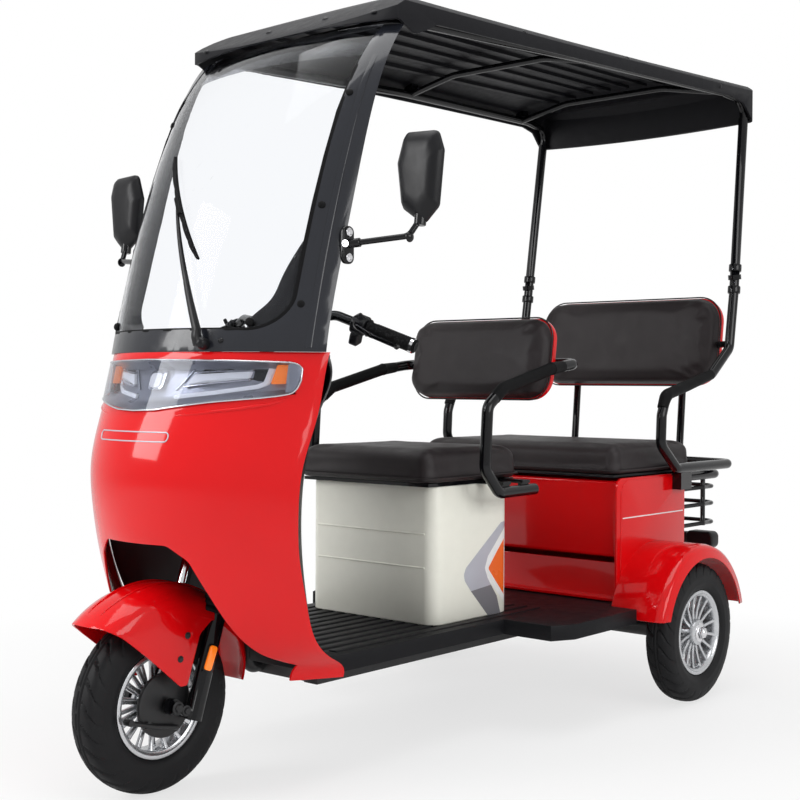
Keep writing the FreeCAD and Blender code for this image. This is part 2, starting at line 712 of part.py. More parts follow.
barrel_outside = Part.makeBox(S.barrel_length, S.barrel_width, S.barrel_height,
                              Vector(BARREL_REAR_X, -S.barrel_width / 2, FLOOR_TOP))
upright = [e for e in barrel_outside.Edges
           if abs(e.Vertexes[0].Point.z - e.Vertexes[1].Point.z) > S.barrel_height / 2]
barrel_outside = barrel_outside.makeFillet(34, upright)
barrel_inside = Part.makeBox(S.barrel_length - 2 * S.barrel_wall,
                             S.barrel_width - 2 * S.barrel_wall, S.barrel_height,
                             Vector(BARREL_REAR_X + S.barrel_wall,
                                    -S.barrel_width / 2 + S.barrel_wall,
                                    FLOOR_TOP + S.barrel_wall))
upright = [e for e in barrel_inside.Edges
           if abs(e.Vertexes[0].Point.z - e.Vertexes[1].Point.z) > S.barrel_height / 2]
barrel_inside = barrel_inside.makeFillet(34 - S.barrel_wall, upright)
node("seat_barrel", barrel_outside.cut(barrel_inside))

battery = Part.makeBox(230, 300, 190, Vector(BARREL_REAR_X + 38, -150, FLOOR_TOP + S.barrel_wall))
node("battery_pack", battery)

CUSHION_ROUNDING = 28.0
PAN_LOW = BARREL_TOP + S.cushion_gap
CUSHION_LOW = PAN_LOW + S.pan_height


def cushion_body(label, front_x, length, width, low, radius):
    """Plain upholstered cushion: a slab with rounded corners and edges."""
    body = body_node(label)
    body.setExpression("Placement.Base.x", f"{front_x} - {length} / 2")
    body.Placement = Placement(Vector(0, 0, low), Rotation())
    sketch = add_sketch(body, f"{label}_outline", "XY_Plane")
    draw_polygon(sketch, rectangle(f"-{length} / 2", f"-{width} / 2",
                                   f"{length} / 2", f"{width} / 2"))
    pad = add_pad(body, f"{label}_slab", sketch, "Sizes.cushion_height")
    doc.recompute()
    rounding = body.newObject("PartDesign::Fillet", f"{label}_rounding")
    names = [f"Edge{i + 1}" for i, edge in enumerate(pad.Shape.Edges)
             if max(v.Point.z for v in edge.Vertexes) > 1]
    rounding.Base = (pad, names)
    rounding.Radius = radius
    body.Tip = rounding
    return body


cushion_body("front_cushion", "Sizes.front_cushion_front_x", "Sizes.front_cushion_length",
             "Sizes.front_cushion_width", CUSHION_LOW, CUSHION_ROUNDING)

SEAT_TUBE_Y = 285.0
SEAT_TUBE = (
    # x, z from the plug behind the seat to the end behind the backrest
    (-78, 592), (70, 590), (128, 650), (118, 800), (58, 842), (-150, 893), (-268.4, 908),
)
front_pan = Part.makeBox(S.front_cushion_length - 40, S.front_cushion_width - 30, S.pan_height,
                         Vector(S.front_cushion_front_x - S.front_cushion_length + 20,
                                -S.front_cushion_width / 2 + 15, PAN_LOW))
seat_frame = [front_pan]
left_route = [Vector(x, SEAT_TUBE_Y, z) for x, z in SEAT_TUBE]
right_route = [Vector(p.x, -p.y, p.z) for p in reversed(left_route)]
seat_frame.append(bent_tube(left_route + right_route, S.frame_tube_radius, 32))
for name, side in SIDES:
    low_y, high_y = sorted((side * 190.0, side * (SEAT_TUBE_Y + 2)))
    for place in (-40, 40):
        seat_frame.append(block(Vector(place - 16, low_y, PAN_LOW),
                                Vector(place + 16, high_y, PAN_LOW + S.pan_height)))
        hanger_low, hanger_high = sorted((side * (SEAT_TUBE_Y - 12), side * (SEAT_TUBE_Y - 2)))
        seat_frame.append(block(Vector(place - 16, hanger_low, 592),
                                Vector(place + 16, hanger_high, PAN_LOW + S.pan_height)))
node("front_seat_frame", fused(seat_frame))


def backrest_outline(width, height, radius):
    """Rounded rectangle in the YZ plane about the origin."""
    corners = [Vector(0, -width / 2, -height / 2), Vector(0, width / 2, -height / 2),
               Vector(0, width / 2, height / 2), Vector(0, -width / 2, height / 2)]
    return rounded_outline(corners, [radius] * 4)


BACKRESTS = (
    # name, front face x, middle z, width, height, corner radius
    ("front", -194, 927, 458, 220, 62),
    ("rear", -960, 992, 634, 272, 78),
)
for seat, face_x, middle_z, width, height, radius in BACKRESTS:
    pad = prism(backrest_outline(width, height, radius), Vector(-S.backrest_depth, 0, 0))
    front_edges = [e for e in pad.Edges if all(abs(v.Point.x) < 1 for v in e.Vertexes)]
    pad = pad.makeFillet(16, front_edges)
    shell = prism(backrest_outline(width - 4, height - 4, radius - 2),
                  Vector(-S.backrest_shell_depth, 0, 0))
    shell.translate(Vector(-S.backrest_depth, 0, 0))
    for label, shape in ((f"{seat}_backrest", pad), (f"{seat}_backrest_shell", shell)):
        shape.rotate(Vector(0, 0, 0), Vector(0, 1, 0), -S.backrest_lean)
        shape.translate(Vector(face_x, 0, middle_z))
        node(label, shape)


# Rear box and bench

BOX_FRONT_PANEL_X = S.box_front_x - S.box_panel_setback
BOX_CORNER = 28.0
box_outer = block(Vector(S.box_rear_x, -S.box_half_width, FLOOR_TOP),
                  Vector(S.box_front_x, S.box_half_width, S.box_top))
front_top_edge = [e for e in box_outer.Edges
                  if all(abs(v.Point.x - S.box_front_x) < 1 and abs(v.Point.z - S.box_top) < 1
                         for v in e.Vertexes)]
box_outer = box_outer.makeFillet(BOX_CORNER, front_top_edge)
box_inner = block(Vector(S.box_rear_x + S.box_wall, -S.box_half_width + S.box_wall,
                         FLOOR_TOP + S.box_wall),
                  Vector(S.box_front_x + 1, S.box_half_width - S.box_wall, S.box_top + 1))
lower_panel = block(Vector(BOX_FRONT_PANEL_X - S.box_wall, -S.box_half_width + 4, FLOOR_TOP),
                    Vector(BOX_FRONT_PANEL_X, S.box_half_width - 4, S.flap_bottom - 16))
rear_box = fused([box_outer.cut(box_inner), lower_panel])
node("rear_box", rear_box)

flap = block(Vector(BOX_FRONT_PANEL_X - 4, -S.box_half_width + S.box_wall + 6, S.flap_bottom),
             Vector(BOX_FRONT_PANEL_X + 16, S.box_half_width - S.box_wall - 6, S.box_top - 8))
flap_edges = [e for e in flap.Edges if all(abs(v.Point.x - BOX_FRONT_PANEL_X - 16) < 1
                                           for v in e.Vertexes)]
flap = flap.makeFillet(10, flap_edges)
FLAP_HINGE_X = BOX_FRONT_PANEL_X + 6
FLAP_HINGE_Z = S.box_top - 16
pin_reach = S.box_half_width - S.box_wall - S.seat_gap
hinge_pin = rod(Vector(FLAP_HINGE_X, -pin_reach, FLAP_HINGE_Z),
                Vector(FLAP_HINGE_X, pin_reach, FLAP_HINGE_Z), 5)
node("box_flap", fused([flap, hinge_pin]))

REAR_PAN_LOW = S.box_top + S.cushion_gap
rear_pan = Part.makeBox(S.rear_cushion_length - 30, 2 * S.box_half_width - 30, S.pan_height,
                        Vector(S.rear_cushion_front_x - S.rear_cushion_length + 15,
                               -S.box_half_width + 15, REAR_PAN_LOW))
node("rear_seat_pan", rear_pan)
cushion_body("rear_cushion", "Sizes.rear_cushion_front_x", "Sizes.rear_cushion_length",
             "2 * Sizes.box_half_width", REAR_PAN_LOW + S.pan_height, CUSHION_ROUNDING)

POST_Y = 372.0
post = [Vector(-1049, POST_Y - 9, 1655), Vector(-978, POST_Y, 1131), Vector(-950, POST_Y, 962),
        Vector(-840, POST_Y, 884), Vector(-580, POST_Y, 826), Vector(-556, POST_Y, 770),
        Vector(-552, POST_Y, 690), Vector(-640, POST_Y, 622), Vector(-960, POST_Y, 622),
        Vector(-985, 260, 622), Vector(-985, 0, 622)]
post_tube = bent_tube(post, S.frame_tube_radius, 34)
collars = []
for low, high in ((Vector(-983, POST_Y, 1167), Vector(-981, POST_Y, 1181)),):
    collars.append(rod(low, high, S.frame_tube_radius + 5))
left_frame = fused([post_tube] + collars)
right_frame = mirrored(left_frame)
rear_frame = fused([left_frame, right_frame])
supports = []
for side in (1, -1):
    supports.append(rod(Vector(-985, side * 190, 622), Vector(-1012, side * 190, 930), 11))
    supports.append(rod(Vector(-953, side * POST_Y, 975), Vector(-1008, side * 290, 975), 10))
    inner, outer = S.box_half_width + S.seat_gap, POST_Y - 4
    low_y, high_y = sorted((side * inner, side * outer))
    supports.append(block(Vector(-735, low_y, 560), Vector(-675, high_y, 618)))
rear_frame = fused([rear_frame] + supports)
rear_shell = next(item for item in NODES if item.Label == "rear_backrest_shell").Shape
rear_pad = next(item for item in NODES if item.Label == "rear_backrest").Shape
rear_frame = rear_frame.cut(rear_shell).cut(rear_pad).cut(box_outer)
rear_frame = Part.makeCompound([s for s in rear_frame.Solids if s.Volume > 20000])
node("rear_seat_frame", rear_frame)

CARRIER_START = S.box_rear_x - S.seat_gap
carrier = []
for height, radius, reach in ((588, 13, 1010), (552, 6, 992), (502, 6, 992), (446, 6, 992)):
    route = [Vector(CARRIER_START, 316, height), Vector(-reach, 316, height),
             Vector(-reach, -316, height), Vector(CARRIER_START, -316, height)]
    carrier.append(bent_tube(route, radius, 50))
for side in (1, -1):
    carrier.append(rod(Vector(-995, side * 150, 440), Vector(-1003, side * 150, 600), 7))
    carrier.append(rod(Vector(-900, side * 316, 440), Vector(-900, side * 316, 600), 7))
node("rear_carrier", fused(carrier))

tail_lamps = []
for side in (1, -1):
    lamp = block(Vector(-1000, side * 280 - 44, 366), Vector(-940, side * 280 + 44, 416))
    tail_lamps.append(lamp)
bumper = block(Vector(-990, -236, 374), Vector(-960, 236, 408))
stays = [block(Vector(-962, side * 170 - 12, 378), Vector(CARRIER_START, side * 170 + 12, 402))
         for side in (1, -1)]
PLATE_HOLE_SPACING = 150.0
PLATE_HOLE_RADIUS = 3.3
plate_bracket = block(Vector(-994, -100, 360), Vector(-990, 100, 422))
for name, side in SIDES:
    plate_hole = rod(Vector(-996, side * PLATE_HOLE_SPACING / 2, 414),
                     Vector(-980, side * PLATE_HOLE_SPACING / 2, 414), PLATE_HOLE_RADIUS)
    plate_bracket = plate_bracket.cut(plate_hole)
node("rear_bumper", fused([bumper, plate_bracket] + stays))
node("tail_lamps", Part.makeCompound(tail_lamps))


REAR_FENDER_PROFILE = (
    # drop below the crown, place inward of the outer side
    (0, 26), (5, 9), (14, 2), (30, 0), (36, -3),
)
REAR_FENDER_FOOT = 243.0


def rear_fender_shape():
    """Left rear fender: half a turn of a crown with a rounded outer edge and a flared lip."""
    inner_y = S.box_half_width + S.seat_gap
    outside = [(S.rear_fender_radius, inner_y)]
    outside.extend((S.rear_fender_radius - drop, S.rear_fender_outer_y - inward)
                   for drop, inward in REAR_FENDER_PROFILE)
    inside = [(radius - S.fender_wall * 0.7, across - S.fender_wall)
              for radius, across in reversed(outside[1:])]
    inside.append((S.rear_fender_radius - S.fender_wall, inner_y))
    inside[0] = (outside[-1][0], outside[-1][1] - S.fender_wall)
    shell = turned_shell(outside + inside, 0, 180)
    shell.translate(Vector(S.rear_axle_x, 0, S.tyre_radius))
    keep = block(Vector(-900, inner_y - 1, REAR_FENDER_FOOT), Vector(-100, 600, 480))
    return shell.common(keep)


left_fender = rear_fender_shape()
node("rear_fender_left", left_fender)
node("rear_fender_right", mirrored(left_fender))


# Nose

SLAB_TOP = S.floor_bottom + S.floor_thickness
SCREEN_LOW = 916.0
NOSE_WALL = 5.0
NOSE_LEVELS = (
    # height, front x, edge x, half width, rearmost x of the leg shield
    (S.floor_bottom - 8, 858, 598, 266, None),
    (SLAB_TOP + S.seat_gap, 882, 640, 278, 597),
    (332, 906, 716, 296, 596),
    (416, 928, 754, 308, 596),
    (500, 948, 777, 312, 596),
    (590, 968, 783, 314, 596),
    (680, 975, 776, 318, 588),
    (795, 945, 739, 326, 556),
    (SCREEN_LOW - 12, 905, 718, 333, 524),
    (SCREEN_LOW - S.seat_gap, 901, 714, 334, None),
)
fairing_levels = [row[:4] for row in NOSE_LEVELS]
fairing = shield(fairing_levels, NOSE_WALL)
ARCH = (
    # half width, height, rounding of the wheel arch seen from the front
    (262, 180, 0), (262, 232, 10), (236, 256, 30), (212, 296, 60), (166, 424, 80),
    (138, 494, 30), (96, 524, 30),
)
arch_points = [Vector(0, y, z) for y, z, radius in ARCH]
arch_points.extend(Vector(0, -y, z) for y, z, radius in reversed(ARCH))
arch_radii = [radius for y, z, radius in ARCH]
arch_wire = rounded_outline(arch_points, arch_radii + arch_radii[::-1])
arch_tool = prism(arch_wire, Vector(700, 0, 0))
arch_tool.translate(Vector(700, 0, 0))
fairing = fairing.cut(arch_tool)


def lamp_outline(grow):
    """Front view of the lamp band across the nose."""
    corners = [Vector(0, -345, 838 - grow), Vector(0, -170, 812 - grow),
               Vector(0, 0, 794 - grow), Vector(0, 170, 812 - grow), Vector(0, 345, 838 - grow),
               Vector(0, 345, 893 + grow), Vector(0, 0, 902 + grow), Vector(0, -345, 893 + grow)]
    return Part.makePolygon(corners + corners[:1])


LAMP_REAR_X = 774.0
lamp_space = prism(lamp_outline(S.seat_gap), Vector(400, 0, 0))
lamp_space.translate(Vector(LAMP_REAR_X - S.seat_gap, 0, 0))
lamp_body = prism(lamp_outline(0), Vector(400, 0, 0))
lamp_body.translate(Vector(LAMP_REAR_X, 0, 0))
lamp_levels = [(row[0], row[1] + 3, row[2], row[3] + 3) for row in NOSE_LEVELS[6:]]
node("lamp_unit", shield(lamp_levels, 46).common(lamp_body))
node("front_fairing", fairing.cut(lamp_space))

leg_levels = [(height, rear, edge, half - NOSE_WALL - 3 * S.seat_gap)
              for height, front, edge, half, rear in NOSE_LEVELS if rear is not None]
leg_shield = shield(leg_levels, -NOSE_WALL)
leg_shield = leg_shield.cut(shield(fairing_levels, NOSE_WALL + S.seat_gap))
node("leg_shield", max(leg_shield.Solids, key=lambda solid: solid.Volume))

DASH_LOW = SCREEN_LOW - 12
dash_half = 333 - NOSE_WALL - 2
dash_edges = list(skin_arcs(DASH_LOW, 905 - NOSE_WALL - 4, 718, dash_half))
dash_edges.extend(skin_arcs(DASH_LOW, 524, 718, dash_half))
dash = prism(Part.Wire(Part.sortEdges(dash_edges)[0]), Vector(0, 0, 8))
dash = dash.cut(rod(along_steering(BRIDGE_HIGH), along_steering(STEM_TOP),
                    S.stem_radius + S.moving_gap))
node("dashboard", dash)


# Roof

ROOF_FOOT = 1560.0
ROOF_SECTIONS = (
    # x, half width, shoulder z, crown z
    (560, 329, 1690, 1742),
    (-260, 342, 1722, 1768),
    (-1085, 388, 1752, 1790),
)
ROOF_TOP_VIEW = (
    # side x, middle x of the bowed front and rear edges
    (478, 548), (-1071, -1085),
)
ROOF_SIDE_VIEW = (
    # x, z along the top, front to rear
    (570, 1622), (440, 1706), (330, 1752), (200, 1900), (-800, 1900), (-960, 1788),
    (-1045, 1768), (-1095, 1718),
)
ROOF_FOOT_VIEW = (
    # x, z along the foot of the skirt, and rounding
    (600, 1642, 0), (495, 1634, 20), (446, 1612, 20), (404, 1630, 20), (370, 1648, 20),
    (-113, 1673, 400), (-950, 1704, 30), (-1012, 1694, 20), (-1066, 1646, 10),
    (-1100, 1632, 0),
)
ROOF_RIB_PITCH = 64.0
ROOF_RIB_WIDTH = 12.0
ROOF_RIB_DEPTH = 8.0
ROOF_RIB_REACH = (-930, 420)
ROOF_REAR_CORNER = 16.0
ROOF_WALL = 6.0


def roof_wire(x, half, shoulder, crown):
    """Cross section of the roof: bottom line, upright skirts and a bowed top."""
    corners = [Vector(x, -half, ROOF_FOOT), Vector(x, half, ROOF_FOOT),
               Vector(x, half, shoulder - 14), Vector(x, half - 16, shoulder)]
    others = [Vector(x, -corner.y, corner.z) for corner in corners[:1:-1]]
    points = corners + others
    edges = [Part.LineSegment(first, second).toShape()
             for first, second in zip(points[:3], points[1:4])]
    edges.append(Part.Arc(points[3], Vector(x, 0, crown), points[4]).toShape())
    edges.append(Part.LineSegment(points[4], points[5]).toShape())
    edges.append(Part.LineSegment(points[5], points[0]).toShape())
    return Part.Wire(edges)


def roof_solid(inset):
    """Volume under the roof's skin, set in from the outside by inset."""
    wires = [roof_wire(x, half - inset, shoulder - inset, crown - inset)
             for x, half, shoulder, crown in ROOF_SECTIONS]
    volume = Part.makeLoft(wires, True, False)
    (front_side, front_middle), (rear_side, rear_middle) = ROOF_TOP_VIEW
    front_side, front_middle = front_side - inset, front_middle - inset
    rear_side, rear_middle = rear_side + inset, rear_middle + inset
    wide = 420
    front = Part.Arc(Vector(front_side, wide, ROOF_FOOT), Vector(front_middle, 0, ROOF_FOOT),
                     Vector(front_side, -wide, ROOF_FOOT))
    corner_y = ROOF_SECTIONS[-1][1] - inset
    tucked = corner_y - ROOF_REAR_CORNER
    turn_x = rear_side + ROOF_REAR_CORNER
    rear = Part.Arc(Vector(rear_side, -tucked, ROOF_FOOT), Vector(rear_middle, 0, ROOF_FOOT),
                    Vector(rear_side, tucked, ROOF_FOOT))
    edges = [front.toShape(), rear.toShape()]
    for side in (1, -1):
        corner = Part.Arc(Vector(rear_side, side * tucked, ROOF_FOOT),
                          Vector(turn_x - 0.7071 * ROOF_REAR_CORNER,
                                 side * (tucked + 0.7071 * ROOF_REAR_CORNER), ROOF_FOOT),
                          Vector(turn_x, side * corner_y, ROOF_FOOT))
        edges.append(corner.toShape())
        edges.append(Part.LineSegment(Vector(turn_x, side * corner_y, ROOF_FOOT),
                                      Vector(turn_x, side * wide, ROOF_FOOT)).toShape())
        edges.append(Part.LineSegment(Vector(turn_x, side * wide, ROOF_FOOT),
                                      Vector(front_side, side * wide, ROOF_FOOT)).toShape())
    plan = Part.Wire(Part.sortEdges(edges)[0])
    volume = volume.common(prism(plan, Vector(0, 0, 400)))
    side = [Vector(x, 0, z - inset) for x, z in ROOF_SIDE_VIEW]
    side.extend((Vector(-1095, 0, ROOF_FOOT - 20), Vector(570, 0, ROOF_FOOT - 20)))
    profile = prism(rounded_outline(side, [0, 60, 40, 0, 0, 60, 40, 0, 0, 0]),
                    Vector(0, 900, 0))
    profile.translate(Vector(0, -450, 0))
    return volume.common(profile)


def above_foot(lower):
    """Everything over the skirt's foot line, lowered by an amount."""
    side = [Vector(x, 0, z - lower) for x, z, radius in ROOF_FOOT_VIEW]
    side.extend((Vector(-1100, 0, 1950), Vector(600, 0, 1950)))
    radii = [radius for x, z, radius in ROOF_FOOT_VIEW] + [0, 0]
    space = prism(rounded_outline(side, radii), Vector(0, 900, 0))
    space.translate(Vector(0, -450, 0))
    return space


roof_outside = roof_solid(0)
roof = roof_outside.cut(roof_solid(ROOF_WALL)).common(above_foot(0))
rib_strips = []
for place in (0.5, 1.5, 2.5, 3.5):
    for name, side in SIDES:
        middle = side * place * ROOF_RIB_PITCH
        rib_strips.append(block(Vector(ROOF_RIB_REACH[0], middle - ROOF_RIB_WIDTH / 2, ROOF_FOOT),
                                Vector(ROOF_RIB_REACH[1], middle + ROOF_RIB_WIDTH / 2, 1900)))
rib_layer = roof_solid(ROOF_WALL - 1).cut(roof_solid(ROOF_WALL + ROOF_RIB_DEPTH))
roof = fused([roof] + [strip.common(rib_layer) for strip in rib_strips])
node("roof_panel", roof)
roof_space = roof_solid(-S.seat_gap).common(above_foot(S.seat_gap))

ROOF_RAIL = (
    # x, y, z of the left rail, rear to front
    (-1049.1, 363, 1655.9), (-1054, 360, 1706), (-940, 350, 1716), (-260, 312, 1692),
    (420, 296, 1650),
)
ROOF_CROSS = (
    # x, end y, end z, rise in the middle
    (-900, 344, 1713, 34), (-300, 312, 1694, 34), (330, 298, 1656, 40),
)
ROOF_TAB = 14.0
under_roof = roof_solid(ROOF_WALL + S.seat_gap)
roof_rails = []
for name, side in SIDES:
    rail = [bent_tube([Vector(x, side * y, z) for x, y, z in ROOF_RAIL], 11, 40)]
    for place, end_y, end_z, rise in ROOF_CROSS:
        tab = block(Vector(place - ROOF_TAB, side * end_y - ROOF_TAB, end_z),
                    Vector(place + ROOF_TAB, side * end_y + ROOF_TAB, end_z + 80))
        rail.append(tab.common(under_roof))
    roof_rails.append(fused(rail))
node("roof_frame", Part.makeCompound(roof_rails))

roof_bows = []
for place, end_y, end_z, rise in ROOF_CROSS:
    bow = bent_tube([Vector(place, -end_y, end_z), Vector(place, -end_y / 2, end_z + rise),
                     Vector(place, end_y / 2, end_z + rise), Vector(place, end_y, end_z)],
                    9, 200)
    parts = bow.cut(Part.makeCompound(roof_rails)).Solids
    roof_bows.append(max(parts, key=lambda solid: solid.Volume))
node("roof_bows", Part.makeCompound(roof_bows))


# Windscreen

SCREEN_LEVELS = (
    # height, front x, edge x, half width
    (SCREEN_LOW, 900, 728, 336),
    (1080, 862, 690, 334),
    (1240, 812, 645, 333),
    (1400, 738, 597, 331),
    (1530, 645, 545, 329),
    (1640, 515, 470, 327),
)
SCREEN_WALL = 8.0
SCREEN_FLANGE_WALL = 6.0
SCREEN_FLANGE_DEPTH = 75.0
GLASS = (
    # half width, height, corner radius of the window seen from the front
    (282, 962, 70), (278, 1680, 0),
)


def window(shrink):
    """Front view of the window swept along X, made smaller all round."""
    corners = [Vector(450, side * (GLASS[row][0] - shrink), GLASS[row][1] + lift)
               for side, row, lift in ((-1, 0, shrink), (1, 0, shrink), (1, 1, 0), (-1, 1, 0))]
    radii = [GLASS[0][2] - shrink] * 2 + [0, 0]
    return prism(rounded_outline(corners, radii), Vector(600, 0, 0))


flange_ring = window(-SCREEN_FLANGE_WALL).cut(window(0))
flange = shield(SCREEN_LEVELS, SCREEN_FLANGE_DEPTH).common(flange_ring)
screen_frame = fused([shield(SCREEN_LEVELS, SCREEN_WALL).cut(window(0)), flange])
node("windscreen_frame", screen_frame.cut(roof_space))
pane_levels = [(z, front - 2, edge, half - 2) for z, front, edge, half in SCREEN_LEVELS]
node("windscreen", shield(pane_levels, 4).common(window(S.seat_gap)).cut(roof_space))
frame_space = shield([(z, front + S.seat_gap, edge, half + S.seat_gap)
                      for z, front, edge, half in SCREEN_LEVELS], SCREEN_WALL + 40)

MIRROR_BASE = Vector(672, 320, 1136)
MIRROR_ELBOW = Vector(622, 462, 1150)
MIRROR_MIDDLE = Vector(592, 472, 1270)
MIRROR_FACE = (
    # y, z of the glass outline about its middle, seen from the front, and corner radius
    (-38, 94, 12), (44, 90, 14), (58, 50, 20), (46, -62, 16), (8, -96, 14), (-46, -60, 16),
    (-58, 34, 20),
)


def mirror_shape():
    """Left mirror: foot on the pillar, bent arm and a head that tapers forward."""
    corners = [Vector(MIRROR_MIDDLE.x, MIRROR_MIDDLE.y + y, MIRROR_MIDDLE.z + z)
               for y, z, radius in MIRROR_FACE]
    radii = [radius for y, z, radius in MIRROR_FACE]
    back = [Vector(MIRROR_MIDDLE.x + 26, MIRROR_MIDDLE.y + 0.72 * y, MIRROR_MIDDLE.z + 0.8 * z)
            for y, z, radius in MIRROR_FACE]
    head = Part.makeLoft([rounded_outline(corners, radii),
                          rounded_outline(back, [0.7 * r for r in radii])], True, True)
    arm = bent_tube([MIRROR_BASE, MIRROR_ELBOW, MIRROR_MIDDLE + Vector(10, 2, -80)], 6, 16)
    foot = rod(MIRROR_BASE, MIRROR_BASE + Vector(-8, 26, 2), 17)
    return fused([head, arm, foot]).cut(frame_space)


left_mirror = mirror_shape()
node("mirror_left", left_mirror)
node("mirror_right", mirrored(left_mirror))

WIPER_PIVOT = Vector(890, 134, 930)
WIPER_BLADE = (Vector(776, -94, 1349), Vector(854, 86, 1108))
blade_middle = (WIPER_BLADE[0] + WIPER_BLADE[1]) * 0.5 + Vector(10, 0, 6)
wiper_arm = bent_tube([WIPER_PIVOT + Vector(8, 0, 0), Vector(878, 74, 1072), blade_middle],
                      4, 30)
wiper_boss = rod(WIPER_PIVOT - Vector(16, 0, 0), WIPER_PIVOT + Vector(16, 0, 0), 11)
wiper_blade = rod(WIPER_BLADE[0], WIPER_BLADE[1], 5)
wiper_link = rod(blade_middle, blade_middle - Vector(14, 0, 6), 5)
wiper = fused([wiper_arm, wiper_boss, wiper_blade, wiper_link])
node("wiper", wiper.cut(frame_space))


def write_parts():
    """Check every object and write one file for each sub-part."""
    doc.recompute()
    for item in doc.Objects:
        bad = [word for word in item.State if word in ("Invalid", "Error")]
        if bad:
            raise RuntimeError(f"{item.Label}: {bad}")
    os.makedirs(OUTPUT_FOLDER, exist_ok=True)
    for item in NODES:
        shape = item.Shape
        if shape.isNull() or not shape.isValid() or not shape.Solids:
            raise RuntimeError(f"{item.Label}: shape is null, open or not valid")
        shape.exportStep(os.path.join(OUTPUT_FOLDER, f"{item.Label}.step"))
        box = shape.BoundBox
        print(f"{item.Label}: {len(shape.Solids)} solid(s), {shape.Volume / 1000:.1f} cm3, "
              f"x {box.XMin:.0f}..{box.XMax:.0f} y {box.YMin:.0f}..{box.YMax:.0f} "
              f"z {box.ZMin:.0f}..{box.ZMax:.0f}")


write_parts()
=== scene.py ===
import json
import logging
import math
from dataclasses import dataclass, field
from enum import Enum

import bmesh
import bpy
import numpy as np
from mathutils import Euler, Matrix, Vector
from mathutils.bvhtree import BVHTree

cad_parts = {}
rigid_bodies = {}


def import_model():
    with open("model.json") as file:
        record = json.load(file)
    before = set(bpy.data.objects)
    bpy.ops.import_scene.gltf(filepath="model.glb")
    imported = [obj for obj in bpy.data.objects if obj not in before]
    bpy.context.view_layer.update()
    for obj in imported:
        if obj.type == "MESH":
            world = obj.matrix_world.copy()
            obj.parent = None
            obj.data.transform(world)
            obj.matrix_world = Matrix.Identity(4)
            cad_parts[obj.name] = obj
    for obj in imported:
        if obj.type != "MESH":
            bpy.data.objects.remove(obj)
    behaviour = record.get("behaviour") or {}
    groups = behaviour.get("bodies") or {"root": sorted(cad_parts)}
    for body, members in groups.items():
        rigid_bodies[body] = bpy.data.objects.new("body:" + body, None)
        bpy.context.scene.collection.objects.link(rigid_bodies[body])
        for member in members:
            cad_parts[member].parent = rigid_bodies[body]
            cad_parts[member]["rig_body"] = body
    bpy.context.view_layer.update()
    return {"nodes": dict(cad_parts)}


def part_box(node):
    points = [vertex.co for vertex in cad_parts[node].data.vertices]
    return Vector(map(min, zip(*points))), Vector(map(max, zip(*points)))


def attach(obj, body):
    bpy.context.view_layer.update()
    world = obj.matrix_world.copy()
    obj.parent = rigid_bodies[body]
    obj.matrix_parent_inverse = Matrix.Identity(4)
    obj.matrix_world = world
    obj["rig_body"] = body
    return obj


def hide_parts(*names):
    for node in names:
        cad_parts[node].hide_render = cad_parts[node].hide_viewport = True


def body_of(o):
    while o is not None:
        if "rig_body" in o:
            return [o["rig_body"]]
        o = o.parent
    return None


logging.basicConfig(level=logging.INFO, format="%(message)s")
LOG = logging.getLogger("tricycle")

Array = np.ndarray
Object = bpy.types.Object
Node = bpy.types.Node
Point = tuple[float, float, float]

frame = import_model()
MM = 0.001


# Finishes

class Grain(Enum):
    """Fine surface effect that a finish shows."""

    PAINT = "paint_flow"
    MOULDED = "moulded_grain"
    LEATHER = "leather_grain"
    RUBBER = "rubber_bloom"
    CAST = "cast_metal"


@dataclass
class Graph:
    """Short way to place and join the nodes of one tree."""

    tree: bpy.types.NodeTree

    def add(self, kind: str, settings: dict | None = None, **sockets: object) -> Node:
        """Add a node.

        Args:
            kind: node type without its ShaderNode prefix.
            settings: properties of the node itself.
            sockets: values or sockets for its inputs, by name or, after an i, by number.

        Returns:
            The new node.
        """
        node = self.tree.nodes.new("ShaderNode" + kind)
        for name, value in (settings or {}).items():
            setattr(node, name, value)
        for name, value in sockets.items():
            key = int(name[1:]) if name[1:].isdigit() else name.replace("_", " ")
            if isinstance(value, bpy.types.NodeSocket):
                self.tree.links.new(value, node.inputs[key])
            else:
                node.inputs[key].default_value = value
        return node

    def math(self, operation: str, first: object, second: object = 0.0) -> object:
        """Return the output of a Math node."""
        return self.add("Math", {"operation": operation}, i0=first, i1=second).outputs[0]

    def noise(self, vector: object, scale: object, detail: float = 3.0) -> object:
        """Return the value of a Noise texture."""
        return self.add("TexNoise", Vector=vector, Scale=scale, Detail=detail).outputs[0]


